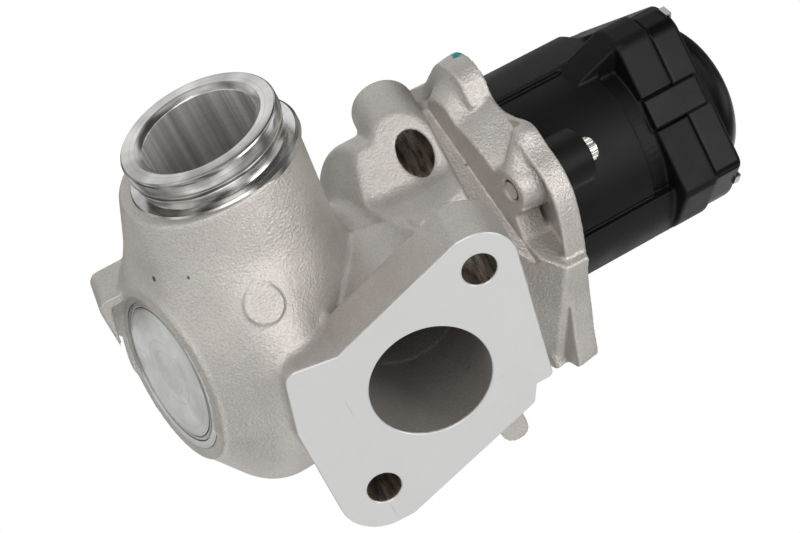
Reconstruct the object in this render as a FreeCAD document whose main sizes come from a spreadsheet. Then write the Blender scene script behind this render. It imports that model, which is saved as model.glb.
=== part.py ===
import FreeCAD, Part
import Sketcher
import math
import os

V = FreeCAD.Vector
doc = FreeCAD.newDocument("egr_valve")
sheet = doc.addObject("Spreadsheet::Sheet", "dims")

# Driving dimensions in millimetres and degrees.
# Row frame: origin at the port centre on the flange face, X right, Y into the part, Z up.
# Valve frame: origin at the centre of the closing plug's face, Z along the valve towards the actuator.
SIZES = {
    "axis_turn": 19.4, "axis_dip": 12.75, "port_depth": 52.8, "port_station": 60.0,
    "slip": 0.04, "air": 0.3, "overrun": 2,
    "port_radius": 15, "port_length": 30, "port_throat": 13, "bolt_radius": 4.25, "bolt_across": 21.9,
    "bolt_up": 22.2,
    "flange_thick": 16, "flange_boss": 9.8, "flange_foot": 11.3,
    "flange_left": 33.5, "flange_left_top": 4, "flange_ear_x": 29.6, "flange_ear_z": 21,
    "flange_dip_x": 16.6, "flange_dip_z": 18.8, "flange_right_x": 26.3, "flange_right_z": 15.6,
    "flange_notch_x": 21.8, "flange_notch_low_x": 19.4, "flange_notch_low_z": 20.4,
    "ear_round": 3.5, "corner_round": 1.5, "corner_slack": 0.4, "foot_lean": 3.4, "boss_lean": 2,
    "foot_pad_x": 12.2, "foot_pad_z": 29.2, "foot_pad_radius": 4.2, "foot_pad_front": 6,
    "foot_pad_thick": 9, "foot_pad_slack": 0.2,
    "rim_radius": 24.2, "rim_length": 1.2, "bulb_radius": 36.4, "bulb_start": 12, "bulb_end": 22,
    "bulb_round": 12, "waist_radius": 19, "waist_start": 51, "waist_end": 57, "waist_round": 4,
    "barrel_radius": 30, "barrel_start": 65.5, "barrel_round": 5,
    "plate_start": 91.5, "plate_end": 98, "plate_radius": 39, "plate_round": 1.2,
    "neck_x": 21.1, "neck_y": 45.3, "neck_root_x": 23.1, "neck_root_radius": 23, "neck_root_top": 53.6,
    "neck_base_x": 34, "neck_base_y": 41, "neck_base_radius": 30, "neck_base_level": 8,
    "neck_foot": 48, "shoulder_radius": 22, "shoulder_top": 54.8, "shoulder_chamfer": 0.7,
    "groove_radius": 18.7, "rib_radius": 19.4, "rib_low": 57.2, "rib_high": 57.9,
    "band_low": 59, "band_radius": 20.1, "rim_top": 63.7, "band_chamfer": 0.7,
    "neck_bore_radius": 14.6, "neck_bore_depth": 20, "mouth_radius": 15.6, "mouth_depth": 1,
    "throat_radius": 13.6, "throat_level": 26,
    "elbow_radius": 10, "elbow_level": 34, "elbow_aim": 20,
    "plug_radius": 20.5, "plug_thick": 4, "plug_face_radius": 17.2, "plug_groove_radius": 18.7,
    "plug_groove_depth": 1.4,
    "plug_wire_radius": 0.7,
    "shelf_radius": 18.4, "cavity_radius": 26, "cavity_start": 11, "cavity_end": 26,
    "seat_radius": 16.5, "seat_start": 36, "seat_end": 41, "seat_bore": 12.6, "seat_chamfer": 1.6,
    "passage_radius": 13, "passage_end": 43, "plenum_radius": 16, "plenum_start": 46, "plenum_end": 74,
    "guide_radius": 7, "guide_start": 70, "guide_end": 87, "guide_boss": 10.5,
    "seal_radius": 8.2, "seal_end": 90, "seal_lip": 0.5,
    "spring_room_radius": 14.4, "spring_floor": 86, "seal_boss_radius": 10, "seal_boss_end": 91,
    "seal_wall": 1,
    "stem_radius": 3.5, "stem_end": 106,
    "head_radius": 14.4, "head_start": 31.5, "head_cone": 1.7, "head_hub": 6.5, "head_hub_length": 3,
    "spring_mean": 12, "spring_wire": 0.8, "spring_turns": 5, "retainer_start": 102, "retainer_thick": 1.6,
    "retainer_radius": 13.6, "retainer_hub": 6, "retainer_lip": 1,
    "screw_ring": 34, "screw_1": 57, "screw_2": 177, "screw_3": -80, "screw_lug": 9, "screw_nose": 6.4,
    "screw_lug_start": 86.6, "screw_shank": 2.25,
    "screw_seat": 107.5, "screw_head": 3.1, "screw_head_length": 4.2, "screw_washer": 4.4,
    "screw_washer_thick": 1,
    "sleeve_radius": 3.4, "sleeve_gap": 0.2, "spline": 0.4, "screw_recess": 0.4,
    "lug_hole_front": 44, "lug_hole_back": 79, "lug_left": 11.5, "lug_right": 30.4, "lug_top": 31.2,
    "lug_low": 8,
    "lug_round": 8.6,
    "knob_ring": 33.2, "knob_angle": 2, "knob_radius": 8.2, "knob_start": 91,
    "tail_ring": 43.5, "tail_angle": 149, "tail_radius": 8.4, "tail_start": 88,
    "rib_thick": 4, "rib_foot": 20, "rib_lift": 8, "rib_edge": 1, "rib_1": 148, "rib_2": 177, "rib_3": -80,
    "rib_4": -125,
    "recess_angle": 40, "recess_floor": 22.2, "recess_start": 72, "recess_end": 86.5, "recess_reach": 14,
    "recess_half": 26,
    "pocket_from": 13, "pocket_to": 43, "pocket_end": 96,
    "gusset_angle": 112.8, "gusset_foot": 24, "gusset_crest": 38.8, "gusset_low": 81.6, "gusset_high": 89.8,
    "gusset_first": 20, "gusset_length": 36, "recess_left": 29,
    "scallop_ring": 54, "scallop_1": 27, "scallop_2": -32, "scallop_radius": 20,
    "ear_block_x": 63.5, "ear_block_right": 44, "ear_block_front": 46, "ear_block_back": 60,
    "ear_block_low": 14,
    "ear_block_top": 31.5, "ear_block_round": 4,
    "pad_radius": 4.8, "pad_length": 12, "pad_x": 25.9, "pad_y": 13, "pad_z": 32.5, "pad_turn": -16,
    "pad_dip": 38.7, "duct_wall": 4.5,
    "relief_front": 20, "relief_floor": 17.6, "relief_foot": 49.6, "relief_left": 10, "relief_right": 34,
    "gasket_inner": 18, "gasket_outer": 26.4,
    "shell_start": 99, "shell_radius": 29.3, "shell_wall": 3.2, "shell_front": 2.4,
    "shell_mouth": 15.4, "ledge_radius": 23,
    "flange_square": 28, "square_less": 1, "corner_small": 5.4, "corner_large": 7, "corner_long": 12.5,
    "square_start": 133,
    "square_end": 143, "square_angle": 62,
    "panel_depth": 1.1, "panel_out": 3, "panel_end": 128, "panel_1": 12, "panel_2": 132, "panel_3": 252,
    "panel_sweep": 85,
    "boss_radius": 7.4, "cover_join": 152, "cover_square": 27.2,
    "dome_radius": 23, "dome_end": 164.4, "dome_inner_top": 12, "spigot_start": 139,
    "seal_station": 141, "dome_round": 11.5, "cover_wall": 2.6,
    "tab_width": 8, "tab_offset": 2.5, "tab_depth": 1.4, "tab_gap": 0.45,
    "socket_station": 113, "socket_angle": -125, "socket_reach": 50, "socket_length": 25,
    "socket_height": 13, "socket_wall": 1.8, "socket_depth": 14,
    "socket_round": 4, "pin_pitch": 3.6, "pin_size": 0.8,
    "pin_root": 24, "pin_seat": 4, "pins": 5, "lobes": 12, "lobe_turn": 30,
    "front_plate_start": 106.5, "yoke_radius": 26, "yoke_wall": 1.5,
    "core_end": 118, "core_bore": 3.3, "core_recess_radius": 8, "core_recess_depth": 2,
    "rod_radius": 3,
    "armature_start": 124.4, "armature_end": 138, "armature_radius": 10.9, "tube_wall": 0.9,
    "tube_end": 141, "bobbin_start": 111, "bobbin_end": 135, "bobbin_wall": 1.2,
    "bobbin_cheek": 24.2, "bobbin_cheek_thick": 1.5, "winding_radius": 23.2, "rear_plate_thick": 3,
    "magnet_radius": 3.2, "magnet_start": 141.5, "magnet_length": 4, "plunger_radius": 2,
    "board_start": 148, "board_thick": 1.6, "board_radius": 19.6,
    "chip_size": 5, "chip_height": 2, "holder_radius": 22,
    "holder_ledge": 1.6, "seal_ring_radius": 25.15, "seal_ring_wire": 0.85, "seal_groove": 2,
    "strap_width": 3, "strap_thick": 0.5, "strap_hook": 3, "strap_lip": 1.2,
}


class Size:
    """A length that carries its number and the expression it is bound with."""

    def __init__(self, value, text):
        self.value = value
        self.text = text

    def combine(self, other, sign, value, swap=False):
        first, second = (other, self) if swap else (self, other)
        return Size(value(first.value, second.value), "(%s %s %s)" % (first.text, sign, second.text))

    def __add__(self, other):
        return self.combine(as_size(other), "+", lambda a, b: a + b)

    def __sub__(self, other):
        return self.combine(as_size(other), "-", lambda a, b: a - b)

    def __mul__(self, other):
        return self.combine(as_size(other), "*", lambda a, b: a * b)

    def __truediv__(self, other):
        return self.combine(as_size(other), "/", lambda a, b: a / b)

    def __neg__(self):
        return Size(-self.value, "(-1 * %s)" % self.text)

    def __radd__(self, other):
        return as_size(other) + self

    def __rsub__(self, other):
        return as_size(other) - self

    def __float__(self):
        return float(self.value)


def as_size(value):
    return value if isinstance(value, Size) else Size(float(value), "%g" % value)


class Sheet:
    """Every driving dimension as an attribute."""


d = Sheet()
for row, (alias, number) in enumerate(SIZES.items(), start=1):
    cell = "B%d" % row
    sheet.set("A%d" % row, alias)
    sheet.set(cell, str(number))
    sheet.setAlias(cell, alias)
    setattr(d, alias, Size(float(number), "dims." + alias))
doc.recompute()

# Frames
X_AXIS, Y_AXIS, Z_AXIS = V(1, 0, 0), V(0, 1, 0), V(0, 0, 1)
AIM = (FreeCAD.Rotation(Z_AXIS, float(d.axis_turn)) * FreeCAD.Rotation(Y_AXIS, 90 + float(d.axis_dip))
       * FreeCAD.Rotation(Z_AXIS, 180))
ALONG = AIM.multVec(Z_AXIS)
VALVE = FreeCAD.Placement(V(0, float(d.port_depth), 0) - ALONG * float(d.port_station), AIM)
ROW = FreeCAD.Placement()
FRONT = FreeCAD.Placement(V(0, 0, 0), FreeCAD.Rotation(X_AXIS, -90))


def at(x=0, y=0, z=0, frame=None, rotation=None):
    """A placement given in one of the frames."""
    local = FreeCAD.Placement(V(float(x), float(y), float(z)), rotation or FreeCAD.Rotation())
    return (frame or VALVE).multiply(local)


def around(radius, angle, z):
    """A placement on a ring around the valve, X pointing outwards."""
    turn = math.radians(float(angle))
    x = float(radius) * math.cos(turn)
    y = float(radius) * math.sin(turn)
    return at(x, y, z, rotation=FreeCAD.Rotation(Z_AXIS, float(angle)))


def shifted(place, x=0, y=0, z=0, rotation=None):
    """A placement moved within itself."""
    return place.multiply(FreeCAD.Placement(V(float(x), float(y), float(z)), rotation or FreeCAD.Rotation()))


def bind(obj, prop, size):
    obj.setExpression(prop, as_size(size).text)


def plane_of(body, role):
    return next(item for item in body.Origin.OriginFeatures if item.Role == role)


def polyline(body, role, points, offset=None):
    """A closed sketch whose corners are held by bound distances from its origin."""
    sketch = body.newObject("Sketcher::SketchObject", "Outline")
    sketch.AttachmentSupport = [(plane_of(body, role), "")]
    sketch.MapMode = "FlatFace"
    if offset is not None:
        bind(sketch, "AttachmentOffset.Base.z", offset)
    points = [(as_size(x), as_size(y)) for x, y in points]
    count = len(points)
    corners = [V(x.value, y.value, 0) for x, y in points]
    for index in range(count):
        sketch.addGeometry(Part.LineSegment(corners[index], corners[(index + 1) % count]), False)
    for index in range(count):
        sketch.addConstraint(Sketcher.Constraint("Coincident", index, 2, (index + 1) % count, 1))
    for index, (x, y) in enumerate(points):
        hold(sketch, index, x, "DistanceX", -2)
        hold(sketch, index, y, "DistanceY", -1)
    return sketch


def hold(sketch, index, size, kind, axis):
    """Hold one coordinate of a corner: on the axis, or at a bound distance from the origin."""
    if abs(size.value) < 1e-9:
        sketch.addConstraint(Sketcher.Constraint("PointOnObject", index, 1, axis))
        return
    if size.value > 0:
        number = sketch.addConstraint(Sketcher.Constraint(kind, -1, 1, index, 1, size.value))
        text = size.text
    else:
        number = sketch.addConstraint(Sketcher.Constraint(kind, index, 1, -1, 1, -size.value))
        text = (-size).text
    name = "%s%d" % (kind, index)
    sketch.renameConstraint(number, name)
    sketch.setExpression("Constraints." + name, text)


def held_circle(sketch, x, y, radius):
    """A circle whose centre and radius are bound."""
    sketch.addGeometry(Part.Circle(V(float(x), float(y), 0), Z_AXIS, float(radius)), False)
    for kind, size in (("DistanceX", x), ("DistanceY", y)):
        ends = (-1, 1, 0, 3) if float(size) > 0 else (0, 3, -1, 1)
        length = size if float(size) > 0 else -size
        number = sketch.addConstraint(Sketcher.Constraint(kind, *ends, float(length)))
        sketch.renameConstraint(number, kind)
        sketch.setExpression("Constraints." + kind, length.text)
    number = sketch.addConstraint(Sketcher.Constraint("Radius", 0, float(radius)))
    sketch.renameConstraint(number, "size")
    sketch.setExpression("Constraints.size", radius.text)


def round_edges(body, base, picks):
    """Fillets on the edges that pass the test of each pick."""
    for test, radius in picks:
        doc.recompute()
        names = ["Edge%d" % (n + 1) for n, edge in enumerate(base.Shape.Edges) if test(edge)]
        if not names:
            raise RuntimeError("no edge to round on " + body.Name)
        fillet = body.newObject("PartDesign::Fillet", "Round")
        fillet.Base = (base, names)
        bind(fillet, "Radius", radius)
        body.Tip = fillet
        base = fillet
    return base


def on_circle(radius, z):
    """A test for the circular edge of a turned part."""
    def test(edge):
        curve = edge.Curve
        return (isinstance(curve, Part.Circle) and abs(curve.Radius - float(radius)) < 1e-4
                and abs(curve.Center.z - float(z)) < 1e-4)
    return test


def upright(x, y):
    """A test for the straight edge that stands on a corner of a padded outline."""
    def test(edge):
        if not isinstance(edge.Curve, Part.Line):
            return False
        spots = [vertex.Point for vertex in edge.Vertexes]
        return all(abs(spot.x - float(x)) < 1e-4 and abs(spot.y - float(y)) < 1e-4 for spot in spots)
    return test


def new_body(name, place):
    body = doc.addObject("PartDesign::Body", name)
    body.Label = name
    body.Placement = place
    return body


def turned(name, profile, rounds=(), place=None):
    """A turned piece: (radius, height) corners revolved about its own Z."""
    body = new_body(name, place or VALVE)
    sketch = polyline(body, "XZ_Plane", profile)
    feature = body.newObject("PartDesign::Revolution", "Turned")
    feature.Profile = sketch
    feature.ReferenceAxis = (sketch, ["V_Axis"])
    feature.Angle = 360
    body.Tip = feature
    round_edges(body, feature, [(on_circle(r, z), size) for r, z, size in rounds])
    return body


def prism(name, outline, start, height, rounds=(), place=None):
    """A padded outline with bound corners and rounded uprights."""
    body = new_body(name, place or VALVE)
    sketch = polyline(body, "XY_Plane", outline, start)
    feature = body.newObject("PartDesign::Pad", "Pad")
    feature.Profile = sketch
    bind(feature, "Length", height)
    body.Tip = feature
    round_edges(body, feature, [(upright(x, y), size) for x, y, size in rounds])
    return body


def ring(name, inner, outer, low, high, place=None):
    return turned(name, [(inner, low), (outer, low), (outer, high), (inner, high)], place=place)


def rod(name, radius, length, place):
    cylinder = doc.addObject("Part::Cylinder", name)
    cylinder.Label = name
    bind(cylinder, "Radius", radius)
    bind(cylinder, "Height", length)
    cylinder.Placement = place
    return cylinder


def box(name, sizes, place):
    block = doc.addObject("Part::Box", name)
    for prop, size in zip(("Length", "Width", "Height"), sizes):
        bind(block, prop, size)
    block.Placement = place
    return block


def fuse(name, pieces, refine=True):
    joined = doc.addObject("Part::MultiFuse", name)
    joined.Label = name
    joined.Shapes = pieces
    joined.Refine = refine
    return joined


def cut(name, base, tools):
    result = doc.addObject("Part::Cut", name)
    result.Label = name
    result.Base = base
    result.Tool = tools[0] if len(tools) == 1 else fuse(name + "_tools", tools)
    return result


def seats():
    """The three screw positions, as a tag and an angle around the valve."""
    return [("_1", d.screw_1), ("_2", d.screw_2), ("_3", d.screw_3)]


NODES = []


def keep(obj, label=None):
    """Name a finished sub-part and list it for writing."""
    obj.Label = label or obj.Label
    NODES.append(obj)
    return obj


# Cast body
def cast_body():
    """The casting: bulb, waist and barrel about the valve, neck, port flange, plate, lugs and ribs."""
    plate_seat = d.plate_start + d.rib_edge
    chamber = turned("bulb_and_barrel", [
        (0, 0), (d.rim_radius, 0), (d.rim_radius, d.rim_length), (d.bulb_radius, d.bulb_start),
        (d.bulb_radius, d.bulb_end), (d.waist_radius, d.waist_start), (d.waist_radius, d.waist_end),
        (d.barrel_radius, d.barrel_start), (d.barrel_radius, plate_seat), (0, plate_seat),
    ], rounds=[
        (d.bulb_radius, d.bulb_start, d.bulb_round), (d.bulb_radius, d.bulb_end, d.bulb_round),
        (d.waist_radius, d.waist_start, d.waist_round), (d.waist_radius, d.waist_end, d.waist_round),
        (d.barrel_radius, d.barrel_start, d.barrel_round),
    ])
    turn = FreeCAD.Rotation(Z_AXIS, float(d.recess_angle))
    recess = box("plate_recess", (d.recess_reach, d.recess_half * 2, d.recess_end - d.recess_start),
                 shifted(at(rotation=turn), d.recess_floor, -d.recess_half, d.recess_start))
    beside_lug = box("beside_lug", (d.recess_left * 2, d.lug_hole_back * 2, d.lug_hole_back),
                     at(-d.recess_left, 0, -d.recess_left, frame=ROW))
    chamber = cut("chamber", chamber, [cut("plate_recess_tool", recess, [beside_lug])])
    neck = turned("neck", [
        (0, d.neck_foot), (d.shoulder_radius, d.neck_foot),
        (d.shoulder_radius, d.shoulder_top - d.shoulder_chamfer),
        (d.shoulder_radius - d.shoulder_chamfer, d.shoulder_top), (d.groove_radius, d.shoulder_top),
        (d.groove_radius, d.rib_low), (d.rib_radius, d.rib_low), (d.rib_radius, d.rib_high),
        (d.groove_radius, d.rib_high), (d.groove_radius, d.band_low), (d.band_radius, d.band_low),
        (d.band_radius, d.rim_top - d.band_chamfer), (d.band_radius - d.band_chamfer, d.rim_top),
        (0, d.rim_top),
    ], place=at(-d.neck_x, d.neck_y, 0, frame=ROW))
    reach = d.bulb_radius * 2
    before_plug = rod("plug_side", reach, reach, at(z=d.rim_length - reach))
    root = cut("neck_root_trimmed", neck_root(), [before_plug])
    solids = [chamber, neck, root, port_flange(), foot_pad(), bolt_lug(), port_duct()]
    solids += [ear_block(), round_pad()]
    solids += actuator_plate()
    casting = cut("body_casting", fuse("casting_outside", solids, refine=False), casting_openings())
    keep(casting)


def neck_root():
    """The cast root that leans from the neck ring down into the bulb."""
    body = new_body("neck_root", ROW)
    rings = []
    for x, y, radius, level in ((d.neck_root_x, d.neck_y, d.neck_root_radius, d.neck_root_top),
                                (d.neck_base_x, d.neck_base_y, d.neck_base_radius, d.neck_base_level)):
        sketch = body.newObject("Sketcher::SketchObject", "Ring")
        sketch.AttachmentSupport = [(plane_of(body, "XY_Plane"), "")]
        sketch.MapMode = "FlatFace"
        bind(sketch, "AttachmentOffset.Base.z", level)
        held_circle(sketch, -x, y, radius)
        rings.append(sketch)
    loft = body.newObject("PartDesign::AdditiveLoft", "Root")
    loft.Profile = rings[0]
    loft.Sections = rings[1:]
    body.Tip = loft
    return body


def port_flange():
    """The two-bolt flange: corners of the face outline, with Z downwards in this frame."""
    boss_x = d.bolt_across + d.flange_boss
    boss_z = d.bolt_up + d.flange_boss
    foot_z = d.bolt_up + d.flange_foot
    corners = [
        (boss_x, -boss_z), (boss_x, -d.bolt_up), (d.flange_right_x, d.flange_right_z),
        (d.flange_notch_x, d.flange_right_z), (d.flange_notch_low_x, d.flange_notch_low_z),
        (d.foot_lean - d.bolt_across, foot_z), (-d.flange_left, foot_z),
        (-d.flange_left, -d.flange_left_top), (-d.flange_ear_x, -d.flange_ear_z),
        (-d.flange_dip_x, -d.flange_dip_z),
        (d.bolt_across - d.boss_lean, -boss_z),
    ]
    rounds = [
        (boss_x, -boss_z, d.flange_boss - d.corner_slack),
        (d.flange_right_x, d.flange_right_z, d.corner_round),
        (d.flange_notch_low_x, d.flange_notch_low_z, d.corner_round),
        (-d.flange_left, foot_z, d.flange_foot - d.corner_slack),
        (-d.flange_ear_x, -d.flange_ear_z, d.ear_round),
    ]
    return prism("port_flange", corners, 0, d.flange_thick, rounds, place=FRONT)


def foot_pad():
    """The small rounded lug under the flange."""
    half = d.foot_pad_radius
    corners = [
        (d.foot_pad_x - half, d.flange_right_z), (d.foot_pad_x + half, d.flange_right_z),
        (d.foot_pad_x + half, d.foot_pad_z + half), (d.foot_pad_x - half, d.foot_pad_z + half),
    ]
    low = d.foot_pad_z + half
    rounds = [(d.foot_pad_x + side, low, half - d.foot_pad_slack) for side in (half, -half)]
    return prism("foot_pad", corners, d.foot_pad_front, d.foot_pad_thick, rounds, place=FRONT)


def bolt_lug():
    """The lug on the barrel that the upper bolt runs through."""
    corners = [
        (d.lug_left, -d.lug_low), (d.lug_right, -d.lug_low),
        (d.lug_right, -d.lug_top), (d.lug_left, -d.lug_top),
    ]
    rounds = [(d.lug_right, -d.lug_top, d.lug_round), (d.lug_left, -d.lug_top, d.lug_round)]
    length = d.lug_hole_back - d.lug_hole_front
    return prism("bolt_lug", corners, d.lug_hole_front, length, rounds, place=FRONT)


def port_duct():
    """The duct between the flange and the barrel."""
    return rod("port_duct", d.port_radius + d.duct_wall, d.port_depth, FRONT)


def ear_block():
    """The square lug behind the plug."""
    corners = [
        (-d.ear_block_x, -d.ear_block_low), (-d.ear_block_right, -d.ear_block_low),
        (-d.ear_block_right, -d.ear_block_top), (-d.ear_block_x, -d.ear_block_top),
    ]
    rounds = [(-d.ear_block_x, -level, d.ear_block_round) for level in (d.ear_block_top, d.ear_block_low)]
    depth = d.ear_block_back - d.ear_block_front
    return prism("ear_block", corners, d.ear_block_front, depth, rounds, place=FRONT)


def round_pad():
    """The round raised pad on the front of the bulb."""
    aim = FreeCAD.Rotation(Z_AXIS, -float(d.pad_turn)) * FreeCAD.Rotation(X_AXIS, -90 - float(d.pad_dip))
    place = at(-d.pad_x, d.pad_y, d.pad_z, frame=ROW, rotation=aim)
    return rod("round_pad", d.pad_radius, d.pad_length, place)


def actuator_plate():
    """The plate that carries the actuator, with its screw lugs, knob, tail, pocket, gusset and ribs."""
    thick = d.plate_end - d.plate_start
    plate = turned("plate_disc", [
        (0, d.plate_start), (d.plate_radius, d.plate_start), (d.plate_radius, d.plate_end), (0, d.plate_end),
    ], rounds=[(d.plate_radius, d.plate_start, d.plate_round)])
    tools = [rod(name, d.scallop_radius, thick + d.overrun * 2,
                 around(d.scallop_ring, angle, d.plate_start - d.overrun))
             for name, angle in (("upper_scallop", d.scallop_1), ("rear_scallop", d.scallop_2))]
    tools.append(sector("plate_pocket", d.barrel_radius, d.scallop_ring, d.plate_start - d.overrun,
                        d.pocket_end, d.pocket_from, d.pocket_to - d.pocket_from))
    pieces = [cut("plate_outline", plate, tools)]
    for tag, angle in seats():
        pieces.append(rod("screw_lug" + tag, d.screw_lug, thick, around(d.screw_ring, angle, d.plate_start)))
        pieces.append(rod("screw_nose" + tag, d.screw_nose, d.plate_end - d.screw_lug_start,
                          around(d.screw_ring, angle, d.screw_lug_start)))
    pieces.append(rod("plate_knob", d.knob_radius, d.plate_end - d.knob_start,
                      around(d.knob_ring, d.knob_angle, d.knob_start)))
    pieces.append(rod("tail_end", d.tail_radius, d.plate_end - d.tail_start,
                      around(d.tail_ring, d.tail_angle, d.tail_start)))
    lean = math.degrees(math.acos(float((d.plate_radius - d.tail_radius) / d.tail_ring)))
    pieces.append(box("tail_web", (d.plate_radius, d.tail_ring * math.sin(math.radians(lean)), thick),
                      around(0, d.tail_angle - lean, d.plate_start)))
    pieces.append(plate_gusset())
    for index, angle in enumerate((d.rib_1, d.rib_2, d.rib_3, d.rib_4)):
        upright_rib = FreeCAD.Rotation(X_AXIS, 90)
        foot = around(0, angle, d.barrel_start + d.rib_lift)
        place = shifted(foot, d.rib_foot, d.rib_thick / 2, 0, upright_rib)
        pieces.append(plate_rib("plate_rib_%d" % (index + 1), place))
    return pieces


def plate_gusset():
    """The sloping gusset from the barrel out to the plate's rim, beside the tail."""
    across = FreeCAD.Rotation(X_AXIS, 90)
    place = shifted(around(0, d.gusset_angle, 0), y=d.gusset_first, rotation=across)
    corners = [
        (d.gusset_foot, d.gusset_low), (d.gusset_crest, d.gusset_high), (d.gusset_crest, d.plate_start + 1),
        (d.gusset_foot, d.plate_start + 1),
    ]
    return prism("plate_gusset", corners, 0, d.gusset_length, place=place)


def plate_rib(name, place):
    """A triangular rib from the barrel up to the plate."""
    height = d.plate_start - d.barrel_start - d.rib_lift
    reach = d.plate_radius - d.rib_foot - d.rib_edge
    corners = [(0, 0), (d.barrel_radius - d.rib_foot, 0), (reach, height), (0, height)]
    return prism(name, corners, 0, d.rib_thick, place=place)


def casting_openings():
    """Everything machined or cored out of the casting."""
    inside = turned("gas_way", [
        (0, -1), (d.plug_radius, -1), (d.plug_radius, d.plug_thick), (d.shelf_radius, d.plug_thick),
        (d.cavity_radius, d.cavity_start), (d.cavity_radius, d.cavity_end),
        (d.seat_radius, d.seat_start - 1), (d.seat_radius, d.seat_end),
        (d.passage_radius, d.seat_end), (d.passage_radius, d.passage_end),
        (d.plenum_radius, d.plenum_start), (d.plenum_radius, d.plenum_end), (d.guide_boss, d.plenum_end),
        (d.guide_boss, d.guide_start), (0, d.guide_start),
    ])
    rear = turned("stem_way", [
        (0, d.guide_start - 1), (d.guide_radius, d.guide_start - 1), (d.guide_radius, d.guide_end),
        (d.seal_radius, d.guide_end), (d.seal_radius, d.seal_boss_end),
        (d.seal_boss_radius, d.seal_boss_end), (d.seal_boss_radius, d.spring_floor),
        (d.spring_room_radius, d.spring_floor),
        (d.spring_room_radius, d.plate_end + 1), (0, d.plate_end + 1),
    ])
    neck_bore = turned("neck_bore", [
        (0, d.throat_level), (d.throat_radius, d.throat_level),
        (d.throat_radius, d.rim_top - d.neck_bore_depth),
        (d.neck_bore_radius, d.rim_top - d.neck_bore_depth), (d.neck_bore_radius, d.rim_top - d.mouth_depth),
        (d.mouth_radius, d.rim_top), (d.mouth_radius, d.rim_top + 1), (0, d.rim_top + 1),
    ], place=at(-d.neck_x, d.neck_y, 0, frame=ROW))
    port = rod("port_bore", d.port_radius, d.port_length + d.overrun, at(0, 0, -d.overrun, frame=FRONT))
    throat = rod("port_way", d.port_throat, d.port_depth, FRONT)
    tools = [inside, rear, neck_bore, neck_elbow(), port, throat, bolt_relief()]
    long_hole = d.lug_hole_back + d.overrun * 2
    tools.append(rod("upper_bolt_hole", d.bolt_radius, long_hole,
                     at(d.bolt_across, -d.bolt_up, -d.overrun, frame=FRONT)))
    tools.append(rod("lower_bolt_hole", d.bolt_radius, d.flange_thick + d.overrun * 2,
                     at(-d.bolt_across, d.bolt_up, -d.overrun, frame=FRONT)))
    for tag, angle in seats():
        place = around(d.screw_ring, angle, d.screw_lug_start - d.overrun)
        depth = d.plate_end - d.screw_lug_start + d.overrun * 2
        tools.append(rod("screw_hole" + tag, d.screw_shank, depth, place))
    return tools


def bolt_relief():
    """The sloping face that frees the upper bolt in front of its lug: corners in Y and Z."""
    rise = d.lug_top - d.relief_floor + d.overrun
    corners = [
        (d.relief_front, d.relief_floor), (d.relief_foot, d.relief_floor),
        (d.relief_foot + rise, d.relief_floor + rise), (d.relief_front, d.relief_floor + rise),
    ]
    sideways = FreeCAD.Rotation(V(1, 1, 1), 120)
    return prism("bolt_relief", corners, d.relief_left, d.relief_right - d.relief_left,
                 place=at(frame=ROW, rotation=sideways))


def neck_elbow():
    """The sloping way from the foot of the neck bore into the bulb."""
    start = V(-float(d.neck_x), float(d.neck_y), float(d.elbow_level))
    target = VALVE.multVec(V(0, 0, float(d.elbow_aim)))
    place = FreeCAD.Placement(start, FreeCAD.Rotation(Z_AXIS, target - start))
    return rod("neck_elbow", d.elbow_radius, d.elbow_level, place)


def valve_parts():
    """Seat, guide and seals in the casting, and the poppet with its stem and spring."""
    groove = d.plug_groove_radius - d.plug_face_radius
    keep(turned("closing_plug", [
        (0, 0), (d.plug_face_radius, 0), (d.plug_face_radius, d.plug_groove_depth),
        (d.plug_groove_radius, d.plug_groove_depth), (d.plug_groove_radius, 0), (d.plug_radius, 0),
        (d.plug_radius, d.plug_thick), (0, d.plug_thick),
    ]))
    keep(torus("plug_snap_ring", d.plug_face_radius + groove / 2, d.plug_wire_radius,
               float(d.plug_groove_depth) - float(d.plug_wire_radius)))
    keep(turned("valve_seat", [
        (d.seat_bore + d.seat_chamfer, d.seat_start), (d.seat_radius, d.seat_start),
        (d.seat_radius, d.seat_end),
        (d.seat_bore, d.seat_end), (d.seat_bore, d.seat_start + d.seat_chamfer),
    ]))
    keep(ring("stem_guide", d.stem_radius + d.slip, d.guide_radius, d.guide_start, d.guide_end))
    keep(turned("stem_seal", [
        (d.stem_radius + d.slip, d.guide_end + d.seal_lip), (d.seal_radius, d.guide_end),
        (d.seal_radius, d.seal_end), (d.seal_radius - d.seal_wall, d.seal_end),
        (d.seal_radius - d.seal_wall, d.guide_end + d.seal_wall + d.seal_lip),
        (d.stem_radius + d.seal_wall, d.guide_end + d.seal_wall + d.seal_lip),
        (d.stem_radius + d.slip, d.guide_end + d.seal_lip * 2 + d.seal_wall),
    ]))
    keep(ring("seal_washer", d.stem_radius + d.air, d.seal_radius, d.seal_end, d.seal_boss_end))
    cone = d.seat_bore + d.seat_chamfer + d.seat_start - d.air * math.sqrt(2)
    inner_edge = d.head_radius - d.head_cone
    keep(turned("valve_poppet", [
        (d.stem_radius, d.head_start), (d.head_radius, d.head_start), (d.head_radius, cone - d.head_radius),
        (inner_edge, cone - inner_edge), (d.head_hub, cone - inner_edge),
        (d.head_hub, cone - inner_edge + d.head_hub_length),
        (d.stem_radius, cone - inner_edge + d.head_hub_length),
    ]))
    keep(rod("valve_stem", d.stem_radius, d.stem_end - d.head_start, at(z=d.head_start)))
    keep(turned("spring_retainer", [
        (d.stem_radius, d.retainer_start), (d.retainer_radius, d.retainer_start),
        (d.retainer_radius, d.retainer_start + d.retainer_thick),
        (d.retainer_hub, d.retainer_start + d.retainer_thick),
        (d.retainer_hub, d.retainer_start + d.retainer_thick + d.retainer_lip),
        (d.stem_radius, d.retainer_start + d.retainer_thick + d.retainer_lip),
    ]))
    keep(return_spring())


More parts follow.
